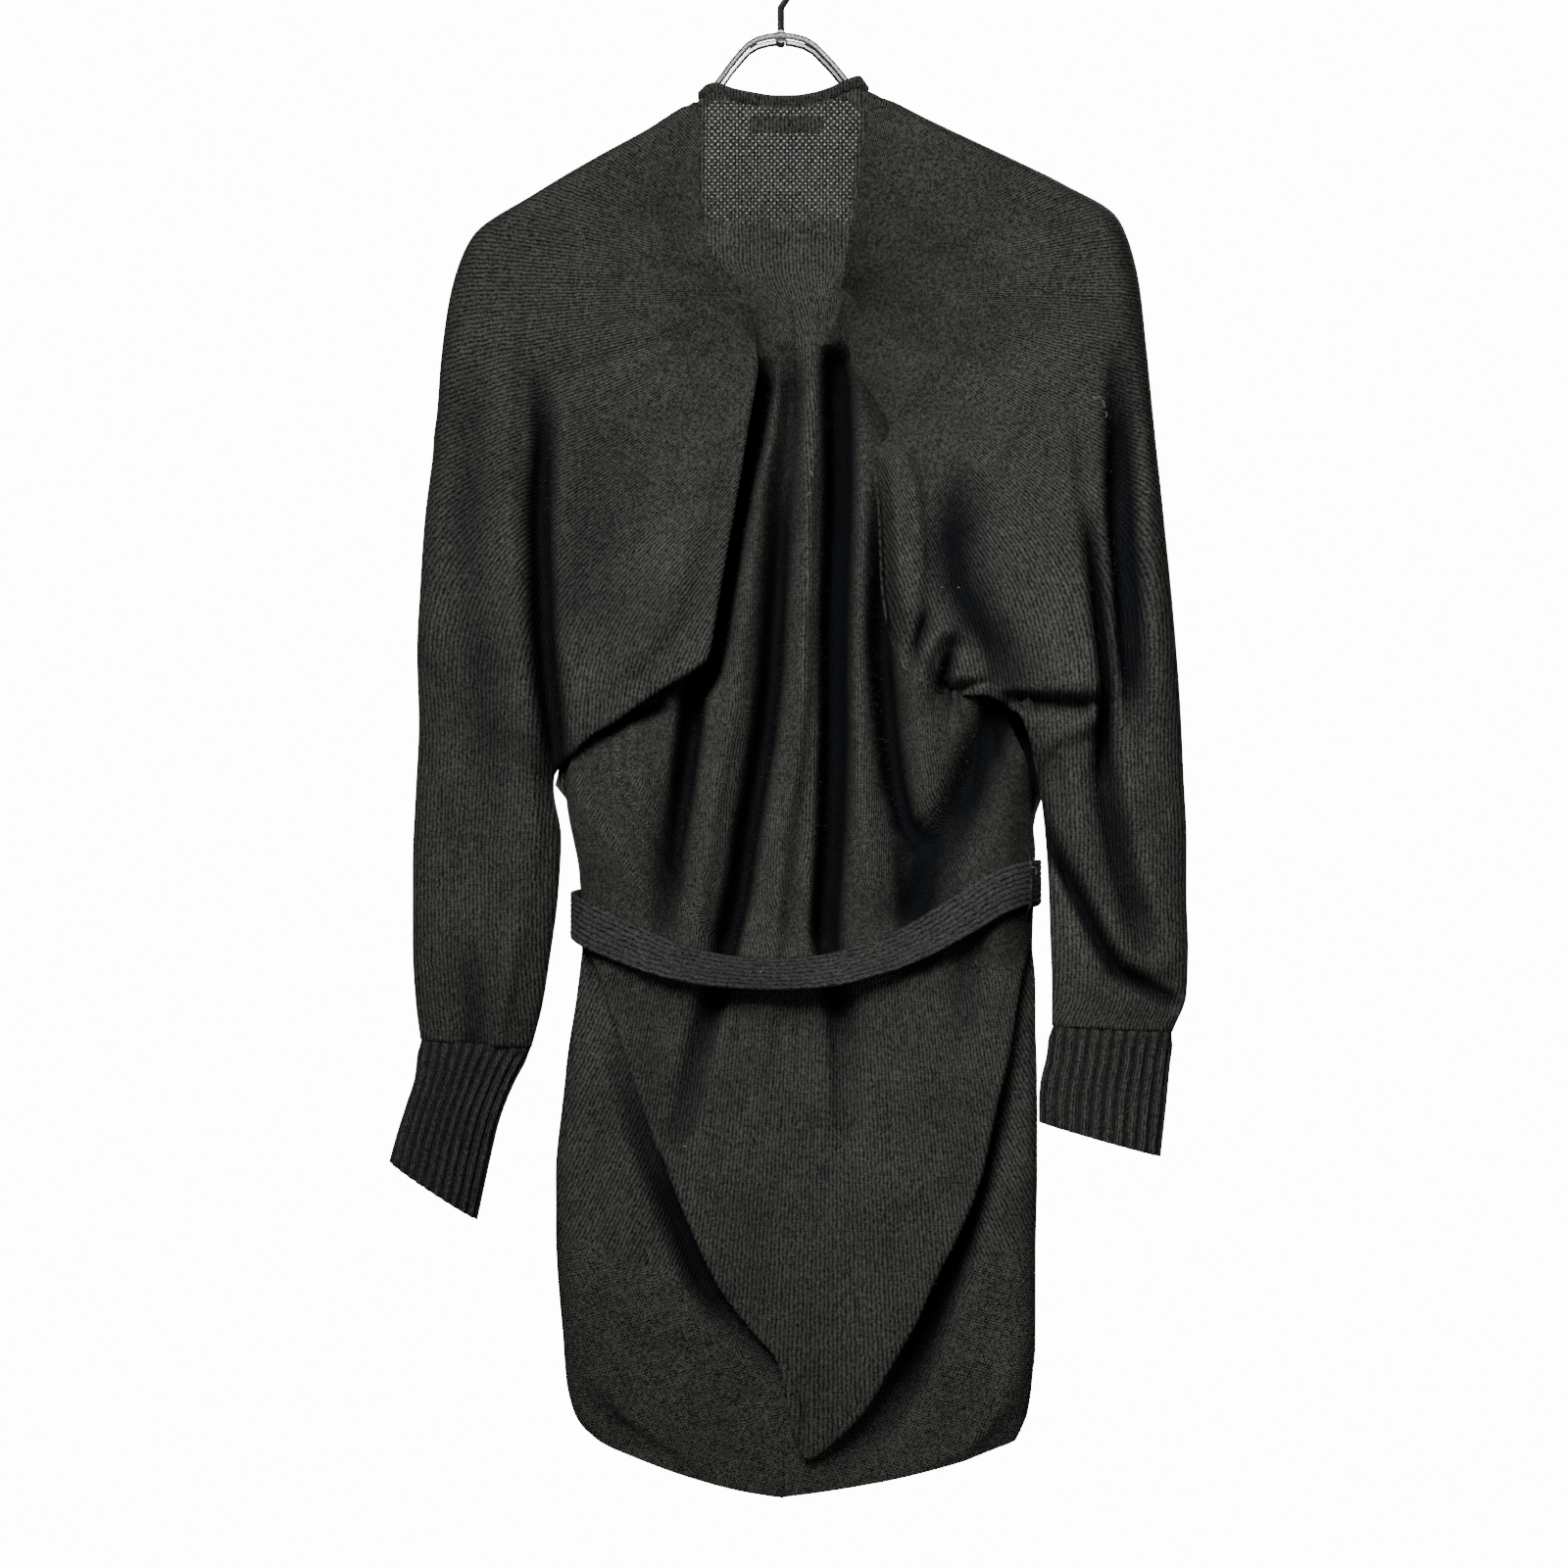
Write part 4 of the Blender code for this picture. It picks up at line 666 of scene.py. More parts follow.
def cuff_rings(rows, ribs, points_per_rib, down):
    """Rings down the ribbed outside, then up the plain inside."""
    count = ribs * points_per_rib
    dense = np.linspace(0, 2 * np.pi, 721)
    outside, inside = [], []
    for at in np.linspace(0, len(rows) - 1, down + 1):
        row = row_at(rows, at)
        outer, inner = np.array(row[:2]), np.array(row[2:4])
        centre, half = (outer + inner) / 2, (inner - outer) / 2
        width = np.linalg.norm(half)
        length = np.concatenate([[0], np.cumsum(np.hypot(
            np.diff(width * np.cos(dense)), np.diff(row.depth * np.sin(dense))))])
        angle = np.interp(np.arange(count) / count * length[-1], length, dense)
        rib = RIB_RISE * np.cos(2 * np.pi * np.arange(count) / points_per_rib)
        for ring, offset in ((outside, WALL / 2 + rib), (inside, -WALL / 2 + 0 * rib)):
            across = (width + offset) / width * np.cos(angle)
            flat = centre[None, :] + half[None, :] * across[:, None]
            ring.append(np.column_stack([flat, (row.depth + offset) * np.sin(angle)]))
    return outside + inside[::-1]


# The belt: a flat sash that hangs in a shallow curve across the back and ties at the front

BeltRow = namedtuple("BeltRow", "x drop proud tilt")
BELT_ROWS = table(BeltRow, """
    -17 520 -36 0
    -61 523 -35.5 0
    -99 525 -31.5 0
    -120 527 -26 0
    -131 528 -14 0
    -134 529 0 0
    -132 530 14 4
    -122 536 28 12
    -99 546 37 24
    -67 558 45 38
    -36 564 49 46
    -4 566 50 48
    27 564 49 46
    59 556 46 42
    87 545 41 36
    115 529 37.5 24
    140 514 35 12
    156 509 27 4
    165 508 14 0
    166 509 0 0
    165 511 -13 0
    156 513 -25.5 0
    134 515 -32 0
    96 517 -36 0
    52 519 -36.5 0
    28 520 -36 0
""")


def strip_grid(rows, width, along, across):
    """A flat strip along a path, turned about the path by each row's tilt in degrees."""
    at = np.linspace(0, len(rows) - 1, along + 1)
    path = np.stack([column(rows, name, at) for name in ("x", "drop", "proud")], axis=-1)
    tilt = np.radians(column(rows, "tilt", at))
    ahead = np.gradient(path, axis=0)
    ahead /= np.linalg.norm(ahead, axis=1)[:, None]
    down = np.array([0, 1.0, 0]) - ahead * ahead[:, 1:2]
    down /= np.linalg.norm(down, axis=1)[:, None]
    out = np.cross(ahead, down)
    wide = down * np.cos(tilt)[:, None] + out * np.sin(tilt)[:, None]
    share = np.linspace(-0.5, 0.5, across + 1)
    return path[:, None, :] + wide[:, None, :] * share[None, :, None] * width


TAILS = {
    "belt_tail_left": table(BeltRow, """
        -4 536 -38.5 0, -6 559 -39 0, -13 635 -39.5 4, -16 711 -39.5 3, -18 774 -39 0"""),
    "belt_tail_right": table(BeltRow, """
        17 536 -42.6 0, 21 559 -43 0, 28 629 -43 -2, 29 692 -42.6 -2, 32 742 -42 0"""),
}
KNOT = namedtuple("Knot", "x drop proud half_width half_height half_depth")(
    5.5, 520, -43.4, 22.2, 15, 9.5)
KNOT_SQUARE = 0.42        # how square the knot is: 1 is an ellipsoid and 0 a box


def knot_rings(knot, rings, around):
    """Rings of a soft square pad along x, from one end to the other."""
    grid = []
    for turn in np.linspace(-np.pi / 2, np.pi / 2, rings + 2)[1:-1]:
        size = math.cos(turn) ** KNOT_SQUARE
        reach = math.copysign(abs(math.sin(turn)) ** KNOT_SQUARE, math.sin(turn))
        angle = 2 * np.pi * np.arange(around) / around
        across, up = np.cos(angle), np.sin(angle)
        across = np.sign(across) * np.abs(across) ** KNOT_SQUARE
        up = np.sign(up) * np.abs(up) ** KNOT_SQUARE
        grid.append(np.column_stack([
            np.full(around, knot.x + knot.half_width * reach),
            knot.drop + knot.half_height * size * up,
            knot.proud + knot.half_depth * size * across]))
    return grid


# The neckband: a narrow rolled band along the back neck

NeckRow = namedtuple("NeckRow", "rise roll")
NECKBAND = table(NeckRow, """
    0.6 0, 1.8 0.15, 3.3 1.0, 4.8 1.2, 6.2 0.5
""")


def neckband_grid(columns):
    """Rows up from the back's top edge."""
    t = np.linspace(0, 1, columns + 1)
    top = BACK_ROWS[0].drop + NECK_DIP * (1 - (2 * t - 1) ** 2)
    x = BACK_ROWS[0].left + t * (BACK_ROWS[0].right - BACK_ROWS[0].left)
    base = proud_back(x, top)
    return np.array([np.stack([x, top - row.rise, base + row.roll], axis=-1)
                     for row in reversed(NECKBAND)])


# Making the pieces

def metres(point):
    x, drop, proud = (float(v) for v in point)
    return x * MM, -proud * MM, -(NECK_BELOW_HOOK + drop) * MM


def undulate(grid, size=0.35):
    """Slow uneven waves, so that no stretch of the cloth is perfectly even."""
    x, drop = grid[..., 0], grid[..., 1]
    wave = (np.sin(x / 11.3 + 1.1 * np.sin(drop / 37.0)) * np.sin(drop / 19.7 + 0.6 * np.sin(x / 23.0))
            + 0.7 * np.sin(x / 6.1 + drop / 28.0 + 2.0) * np.sin(drop / 13.0 - x / 41.0))
    grid = grid.copy()
    grid[..., 2] += size * wave
    return grid


SPREAD_STARTS = (128, 140)    # drops between which the back begins to spread
LEFT_SPREAD = (5, 200, 240)   # how far it spreads, and the drops between which that ends
RIGHT_SPREAD = (11, 280, 330)


def widened(grid):
    """The back's grid, spread under the sleeves' edges where the cloth is gathered."""
    grid = grid.copy()
    x, drop = grid[..., 0], grid[..., 1]
    across = np.linspace(-1, 1, grid.shape[1])[None, :]
    far, start, end = (np.where(across > 0, right, left)
                       for left, right in zip(LEFT_SPREAD, RIGHT_SPREAD))
    bulge = ramp(drop, *SPREAD_STARTS) * (1 - ramp(drop, start, end))
    grid[..., 0] = x + bulge * far * across * np.abs(across)
    grid[..., 2] = proud_back(grid[..., 0], drop) * (bulge > 0) + grid[..., 2] * (bulge == 0)
    return grid


# How far the neck's top edge lies below an even curve
Wave = namedtuple("Wave", "x lower")
NECK_WAVE = table(Wave, """
    -80 0, -66 1, -56 3, -50 2.4, -42 -1, -30 1.3, -17 2.8, -4 4.1, 8 4.1, 21 2.8, 33 0, 43 -3.6,
    49 -4.6, 55 -1, 62 1.5, 72 0
""")
NECK_MIDDLE, NECK_REACH = 1, 76    # the wave runs this far to either side of the middle
NECK_FADES = (6, 60)      # drops between which the wave dies away


def waved_neck(grid):
    """The neck's top edge let sag, with its two soft corners."""
    grid = grid.copy()
    lower = column(NECK_WAVE, "lower", grid[..., 0], "x")
    near = np.abs(grid[..., 0] - NECK_MIDDLE) < NECK_REACH
    grid[..., 1] += lower * (1 - ramp(grid[..., 1], *NECK_FADES)) * near
    return grid


# How a sleeve's back edge (side -1 or 1) joins the back: how far down, how far out from the edge it
# is levelled, and over what length that ends
Join = namedtuple("Join", "until reach fade")
JOINS = {-1: Join(184, 34, 50), 1: Join(400, 46, 10)}
NARROWS = 32              # how much less the right one's reach is low down
NARROWS_AT = (213, 245)   # drops between which it becomes less
COVERED = 125             # the drop above which a sleeve ends at the neck panel's edge
ON_BACK = 10              # cloth prouder than this is on the back
TUCK = 2.4                # how deep the edge is tucked in


def joined_sleeve(grid, keep, side):
    """The sleeve's grid, levelled with the back round the gathered point, and carried on to the
    edge of the neck panel."""
    grid = grid.copy()
    x, drop = grid[..., 0], grid[..., 1]
    edge = column(BACK_ROWS, "left" if side < 0 else "right", drop, "drop")
    back = grid[..., 2] > ON_BACK
    covers = back * (drop < COVERED) * (side * (x - edge) < 0)
    grid[..., 0] = np.where(covers > 0, edge, x)
    x = grid[..., 0]
    away = np.maximum(side * (x - edge), 0)
    level = proud_back(x, drop)
    until, reach, fade = JOINS[side]
    if side > 0:
        inner = grid[SLEEVE_CELLS[3] + 1]
        low = ramp(drop, *NARROWS_AT)
        away = away * (1 - low) + np.hypot(x - inner[:, 0], drop - inner[:, 1]) * low
        reach = reach - NARROWS * low
        back = back * (1 - ramp(inner[:, 0], 114, 126))
    near = (1 - ramp(away, 0, reach)) * (1 - ramp(drop, until - fade, until)) * back
    grid[..., 2] += near * (level + 0.3 - grid[..., 2])
    ends = 1 - ramp(drop, until - 0.7 * fade, until)
    tuck = (1 - ramp(away, 0, 0.2 * reach)) * ramp(drop, 126, 132) * ends * back
    grid[..., 2] -= TUCK * tuck
    last = grid[:, -1].copy()
    back = last[:, 2] > ON_BACK
    last[:, 0] = np.where(back, edge[:, -1], last[:, 0] - side * 2)
    last[:, 2] = np.where(back, proud_back(last[:, 0], last[:, 1]), last[:, 2])
    return (np.concatenate([grid, last[:, None]], axis=1),
            np.concatenate([keep, keep[:, -1:]], axis=1))


# Painted shade: how much darker than its depth some folds are painted, because the cloth closes over
# them
SHADES = {"flap dent": 1.5, "arch pocket": 1.3, "small pocket": 1.5, "hem shadow": 1.3,
          "right hollow": 1.1}
FULL_SHADE_DEPTH = 20         # as deep as this, a fold gets the full painted shade
SHALLOW = -4              # the least rise of a fold that gets painted shade


def painted_fold_shade(folds, grid, shown=1):
    """Painted shade: 1 deep inside a fold, where the cloth closes on itself and shade falls, and 0 on
    its open surface.
    """
    shade = sum(-fold_height(fold, grid[..., 0], grid[..., 1]) / FULL_SHADE_DEPTH
                * SHADES.get(fold.name, 1) for fold in folds if fold.rise <= SHALLOW)
    return np.clip(shade, 0, 1) * shown


def ring_faces(count, around, closed=False, first=0):
    """Faces between rings of points, and from the last ring back to the first if closed."""
    faces = []
    for i in range(count if closed else count - 1):
        here, there = first + i * around, first + (i + 1) % count * around
        for k in range(around):
            n = (k + 1) % around
            faces.append((here + k, here + n, there + n, there + k))
    return faces


def mesh_of(name, points, faces, knit, masks):
    """A mesh with a place in the knit for each point, and the masks that the looks read."""
    mesh = bpy.data.meshes.new(name)
    mesh.from_pydata([metres(p) for p in points], [], faces)
    loops = np.zeros(len(mesh.loops), np.int32)
    mesh.loops.foreach_get("vertex_index", loops)
    layer = mesh.uv_layers.new(name="knit")
    layer.data.foreach_set("uv", (np.asarray(knit, float)[loops] * MM).astype(np.float32).ravel())
    # hollow is painted shade, moss the moss stitch and open the see-through knit
    for name in ("moss", "hollow", "open"):
        mask = mesh.attributes.new(name, "FLOAT", "POINT")
        values = np.zeros(len(points)) + masks.get(name, 0)
        mask.data.foreach_set("value", values.astype(np.float32))
    mesh.shade_smooth()
    mesh.update()
    return mesh


def place(name, data, look, nodes):
    obj = bpy.data.objects.new(name, data)
    bpy.context.scene.collection.objects.link(obj)
    data.materials.append(look)
    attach(obj, "root")
    if nodes:
        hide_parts(*nodes)
    return obj


def neck_window(grid):
    """1 where the neck panel is knitted so openly that light comes through."""
    x, drop = grid[..., 0], grid[..., 1]
    left = ramp(x, -51, -47)
    right = 1 - ramp(x, 52 - drop / 9, 56 - drop / 9)
    fade = 1 - ramp(drop, 30, 98)
    return left * right * ramp(drop, 6, 11) * (0.8 + 0.2 * fade) * (1 - ramp(drop, 80, 112))


def shell(name, grid, knit, look, nodes, slot_name="wool", keep=None, thickness=CLOTH, **masks):
    """A sheet of points made into cloth. Knit holds each point's place across and along the
    stitches. The masks are moss, hollow (painted shade) and open, and 0 where they aren't given."""
    rows, columns = grid.shape[:2]
    number = np.arange(rows * columns).reshape(rows, columns)
    corners = np.stack([number[:-1, :-1], number[:-1, 1:], number[1:, 1:], number[1:, :-1]],
                       axis=-1).reshape(-1, 4)
    if keep is not None:
        corners = corners[keep.reshape(-1)]
    used = np.unique(corners)
    renumber = np.zeros(rows * columns, int)
    renumber[used] = np.arange(len(used))
    faces = renumber[corners].tolist()
    masks = {mask: values.reshape(-1)[used] for mask, values in masks.items()}
    mesh = mesh_of(name, grid.reshape(-1, 3)[used], faces, knit.reshape(-1, 2)[used], masks)
    obj = place(name, mesh, look, nodes)
    solid = obj.modifiers.new("thickness", "SOLIDIFY")
    solid.thickness = thickness * MM
    solid.offset = 0
    solid.use_even_offset = False
    return obj


def lengths(grid, axis):
    """Distance along each row (axis 1) or column (axis 0) of a grid, in millimetres."""
    step = np.linalg.norm(np.diff(grid, axis=axis), axis=-1)
    total = np.cumsum(step, axis=axis)
    start = np.zeros_like(np.take(total, [0], axis=axis))
    return np.concatenate([start, total], axis=axis)


# The knit's directions

GATHER = Edge(33, 131)    # the point that the stitches run out from
FAN_RADIUS = 190          # where the fan's stitches have their true width
ARM_START = 119           # places across and along the stitches at which the arm's knit starts
ARM_ALONG = 20
ARM_TURNS = (190, 430)    # drops between which the fan's stitches turn down the arm
ARM_ENDS = 600
HEM_SLANT = math.radians(25)


def fan(x, drop, side):
    """Places across and along the stitches that run out from the gathered point."""
    run, fall = side * (x - GATHER.x), drop - GATHER.drop
    return FAN_RADIUS * np.arctan2(fall, np.maximum(run, 1e-6)), np.hypot(run, fall)


def sleeve_knit(rows, grid, side):
    """The fan of the shoulder, which turns down the arm."""
    x, drop = grid[..., 0], grid[..., 1]
    across, along = fan(x, drop, side)
    arm = sorted(rows, key=lambda row: row.outer_drop)
    outer = column(arm, "outer_x", np.clip(drop, arm[0].outer_drop, ARM_ENDS), "outer_drop")
    down_across = ARM_START + np.abs(x - outer)
    turned = ramp(drop, *ARM_TURNS)
    return np.stack([across * (1 - turned) + down_across * turned,
                     along * (1 - turned) + (drop + ARM_ALONG) * turned], axis=-1)


def straight_knit(grid, slant=0.0):
    """Stitches at one angle to the vertical over the whole piece."""
    x, drop = grid[..., 0], grid[..., 1]
    return np.stack([x * math.cos(slant) + drop * math.sin(slant),
                     drop * math.cos(slant) - x * math.sin(slant)], axis=-1)


# The centre ridge, which the pleats' stitches are counted from
RIDGE = table(Edge, "4 0, 16 130, 18 190, -2 500, -6 900")


def back_knit(grid):
    """Upright on the neck panel and along the centre ridge, and spreading below the belt."""
    x, drop = grid[..., 0], grid[..., 1]
    length = lengths(grid, 1)
    centre = column(RIDGE, "x", drop[:, 0], "drop")
    middle = np.array([np.interp(c, row, along) for c, row, along in zip(centre, x, length)])
    pleated = length - middle[:, None]
    spread_out = (x - GATHER.x) * (np.maximum(drop - GATHER.drop, 200) / 560) ** -0.8
    below, skirt = ramp(drop, 110, 175), ramp(drop, 505, 560)
    across = x * (1 - below) + pleated * below
    return np.stack([across * (1 - skirt) + spread_out * skirt, drop], axis=-1)


# Materials

HOLE_ACROSS, HOLE_DOWN = 2.0, 2.1    # from a hole of the neck panel to the next column and row
HOLE_CLEAR = 0.2                     # how much of the light a hole lets through
HOLE_EDGE = 6.0                      # how sharp a hole's edge is


class Looks:
    """Adds nodes to a material, and hands back their outputs."""

    def __init__(self, name):
        self.material = bpy.data.materials.new(name)
        self.material.use_nodes = True
        self.tree = self.material.node_tree
        self.shader = self.tree.nodes["Principled BSDF"]

    def node(self, kind, inputs=None, **settings):
        made = self.tree.nodes.new(kind)
        for key, value in settings.items():
            setattr(made, key, value)
        for key, value in (inputs or {}).items():
            self.give(made.inputs[key], value)
        return made

    def give(self, socket, value):
        if isinstance(value, bpy.types.NodeSocket):
            self.tree.links.new(value, socket)
        else:
            socket.default_value = value

    def math(self, operation, *values):
        made = self.node("ShaderNodeMath", operation=operation)
        for socket, value in zip(made.inputs, values):
            self.give(socket, value)
        return made.outputs[0]

    def times(self, one, two):
        return self.math("MULTIPLY", one, two)

    def plus(self, one, two):
        return self.math("ADD", one, two)

    def scaled(self, value, by, more):
        return self.math("MULTIPLY_ADD", value, by, more)

    def wave(self, value):
        """0 to 1 and back, once for each whole number."""
        turn = self.times(value, 2 * math.pi)
        return self.scaled(self.math("COSINE", turn), -0.5, 0.5)

    def noise(self, scale, detail=2.0, where=None):
        made = self.node("ShaderNodeTexNoise", {"Scale": scale, "Detail": detail, "Roughness": 0.6})
        if where is None:
            where = self.node("ShaderNodeTexCoord").outputs["Object"]
        self.give(made.inputs["Vector"], where)
        return made.outputs["Fac"]

    def blend(self, factor, one, two):
        """A number between two others."""
        made = self.node("ShaderNodeMix", data_type="FLOAT")
        for key, value in (("Factor", factor), ("A", one), ("B", two)):
            self.give(made.inputs[key], value)
        return made.outputs[0]

    def ranged(self, value, low, high, to_low, to_high):
        made = self.node("ShaderNodeMapRange", {
            "Value": value, "From Min": low, "From Max": high, "To Min": to_low, "To Max": to_high})
        return made.outputs[0]

    def tint(self, shade, dark, light):
        made = self.node("ShaderNodeMix", data_type="RGBA")
        self.give(made.inputs[0], shade)
        made.inputs[6].default_value = (*dark, 1)
        made.inputs[7].default_value = (*light, 1)
        return made.outputs[2]

    def pierce(self, wide, high, place_at, jitter):
        """Staggered holes between the stitches, larger where the open mask is nearer 1."""
        mask = self.node("ShaderNodeAttribute", attribute_name="open").outputs["Fac"]
        drift = self.scaled(jitter, 0.8, -0.4)
        across = self.scaled(place_at[0], math.pi / wide, drift)
        along = self.scaled(place_at[1], math.pi / high, drift)
        gaps = self.times(self.math("COSINE", across), self.math("COSINE", along))
        gaps = self.plus(gaps, self.ranged(self.noise(330, 1.0), 0.3, 0.7, -0.2, 0.2))
        level = self.scaled(mask, -0.85, 1.36)
        hole = self.node("ShaderNodeMath", operation="MULTIPLY")
        hole.use_clamp = True
        self.give(hole.inputs[0], self.math("SUBTRACT", gaps, level))
        hole.inputs[1].default_value = HOLE_EDGE
        clear = self.times(self.math("GREATER_THAN", mask, 0.02), HOLE_CLEAR)
        hole = self.times(hole.outputs[0], clear)
        seen_through = self.node("ShaderNodeBsdfTransparent").outputs[0]
        both = self.node("ShaderNodeMixShader")
        for socket, value in zip(both.inputs, (hole, self.shader.outputs[0], seen_through)):
            self.give(socket, value)
        self.give(self.tree.nodes["Material Output"].inputs["Surface"], both.outputs[0])

    def bump(self, height, distance):
        made = self.node("ShaderNodeBump", {"Strength": 1.0, "Distance": distance, "Height": height})
        self.give(self.shader.inputs["Normal"], made.outputs[0])

    def finish(self, **values):
        """Sets the shader's own sockets, named with _ for a space."""
        for name, value in values.items():
            self.give(self.shader.inputs[name.replace("_", " ")], value)


# The darkest wool colour, bluish because the painted shade in folds runs down to it
WOOL_DARK_AND_SHADE = (0.0028, 0.0034, 0.0048)
WOOL_LIGHT = (0.112, 0.110, 0.098)
STITCH_DEPTH = 0.8


def knit_look(name, wale=2.45, course=1.8, light=WOOL_LIGHT, holes=False):
    """Plain knit, or moss stitch where the moss mask is 1, in brushed wool. Wale and course are
    a stitch's width and height. With holes, light comes through between the stitches where the
    open mask is above 0."""
    look = Looks(name)
    uv = look.node("ShaderNodeUVMap", uv_map="knit").outputs[0]
    jitter = look.noise(160, 1.0)
    split = look.node("ShaderNodeSeparateXYZ", {"Vector": uv})
    drift = look.scaled(jitter, 0.9, -0.45)
    across = look.scaled(split.outputs[0], 1 / (wale * MM), drift)
    along = look.scaled(split.outputs[1], 1 / (course * MM), drift)
    ridge = look.wave(across)
    legs = look.wave(look.times(across, 2.0))
    slant = look.times(look.math("PINGPONG", across, 0.5), 1.5)
    loops = look.wave(look.plus(along, slant))
    plain = look.times(ridge, look.scaled(legs, 0.35, 0.65))
    plain = look.times(plain, look.scaled(loops, 0.5, 0.5))
    checks = look.times(look.math("SINE", look.times(across, 1.8 * math.pi)),
                        look.math("SINE", look.times(along, 1.6 * math.pi)))
    knots = look.ranged(look.noise(700, 1.0), 0.3, 0.7, 0.1, 0.6)
    mossy = look.scaled(checks, 0.4, knots)
    mask = look.node("ShaderNodeAttribute", attribute_name="moss").outputs["Fac"]
    stitch = look.blend(mask, plain, mossy)
    fuzz = look.noise(1400, 3.0)
    grain = look.noise(520, 2.0)
    cloud = look.noise(26, 2.0)
    height = look.plus(stitch, look.times(fuzz, 0.55))
    shade = look.scaled(stitch, 0.5, 0.04)
    shade = look.plus(shade, look.ranged(grain, 0.35, 0.68, -0.11, 0.21))
    shade = look.plus(shade, look.ranged(fuzz, 0.4, 0.7, -0.07, 0.27))
    shade = look.times(shade, look.ranged(cloud, 0.3, 0.7, 0.84, 1.16))
    # Painted shade: the hollow mask darkens the colour inside folds and rib grooves, down to 0.09 of it
    hollow = look.node("ShaderNodeAttribute", attribute_name="hollow").outputs["Fac"]
    shade = look.times(shade, look.ranged(hollow, 0.04, 0.8, 1.0, 0.09))
    look.finish(Base_Color=look.tint(shade, WOOL_DARK_AND_SHADE, light), Roughness=0.95, Specular_IOR_Level=0.01)
    look.bump(height, STITCH_DEPTH * MM)
    if holes:
        look.pierce(HOLE_ACROSS * MM, HOLE_DOWN * MM, split.outputs, jitter)
    return look.material


def strand_look(name, dark, light):
    look = Looks(name)
    grain = look.noise(400, 2.0)
    shade = look.ranged(grain, 0.35, 0.65, 0, 1)
    look.finish(Base_Color=look.tint(shade, dark, light), Roughness=0.8, Specular_IOR_Level=0.2)
    look.bump(grain, 0.05 * MM)
    return look.material


def chrome_look():
    look = Looks("chromed steel look")
    marks = look.noise(900, 3.0)
    look.finish(Base_Color=look.tint(look.noise(60), (0.56, 0.56, 0.56), (0.8, 0.79, 0.77)),
                Metallic=1.0, Roughness=look.ranged(marks, 0.3, 0.7, 0.10, 0.2))
    look.bump(marks, 0.02 * MM)
    return look.material


def label_look():
    look = Looks("woven label look")
    weave = look.noise(1500, 2.0)
    look.finish(Base_Color=look.tint(weave, (0.006, 0.006, 0.006), (0.02, 0.02, 0.021)), Roughness=0.7)
    look.bump(weave, 0.1 * MM)
    return look.material


# The pieces

Bit = namedtuple("Bit", "x drop size loop curl start thick steps")
LINT = table(Bit, """
    20 249 5 0.3 2 1.0 0.2 8
    18 262 2.5 1.2 5 0.3 0.12 12
    119 180 3 0.6 3 0.2 0.2 8
    -12 564 3 0.4 2 2.2 0.25 8
    -61 676 3.5 0.8 4 0.6 0.22 10
    201 203 8 2.6 5.5 1.2 0.22 24
    206 212 4 1.6 4.5 2.6 0.22 16
    234 260 2 0.5 2 0.4 0.25 8
    161 500 5 1.5 6 1.4 0.25 18
    163 494 3 1.2 5 0.4 0.2 14
    102 321 1.5 0.3 2 0.2 0.25 6
    113 321 1.5 0.3 2 1.2 0.25 6
    -140 610 2 0.5 2 2.0 0.2 6
    108 810 2.5 0.6 3 1.0 0.2 8
    150 742 2 0.6 3 2.0 0.2 8
""")
FIBRE_WIDTH = 0.05
FIBRE_LENGTHS = (1.2, 3.2)
FIBRES_PER_AREA = 24000   # a square metre
BELT_RIB = 3.4            # from rib to rib across the belt

wool = knit_look("dark olive knit look")
thin_wool = knit_look("thin wool look", holes=True)
rib = knit_look("rib look", wale=2.0, course=1.5)
belt_wool = knit_look("belt look", wale=BELT_RIB, course=1.8, light=(0.088, 0.088, 0.082))
fuzz = strand_look("fuzz look", (0.03, 0.028, 0.022), (0.14, 0.13, 0.105))
lint = strand_look("lint look", (0.12, 0.12, 0.11), (0.24, 0.24, 0.22))
chrome = chrome_look()
label = label_look()


ARMPIT = (385, 402, 446, 474)    # drops at which the right front begins and ends to be wider and painted dark as shade
ARMPIT_OUT = 9
MOSS_FROM = (736, 739)           # drops between which the hem's moss stitch begins
HEM_UNDER = (3, -1.5)            # how far the left hem's inner edge runs under the right one's
BAND_ENDS = 0.05                 # the share of the neckband at each end where it narrows
BAND_LOWER = 2.2                 # how far its sewn edge reaches down


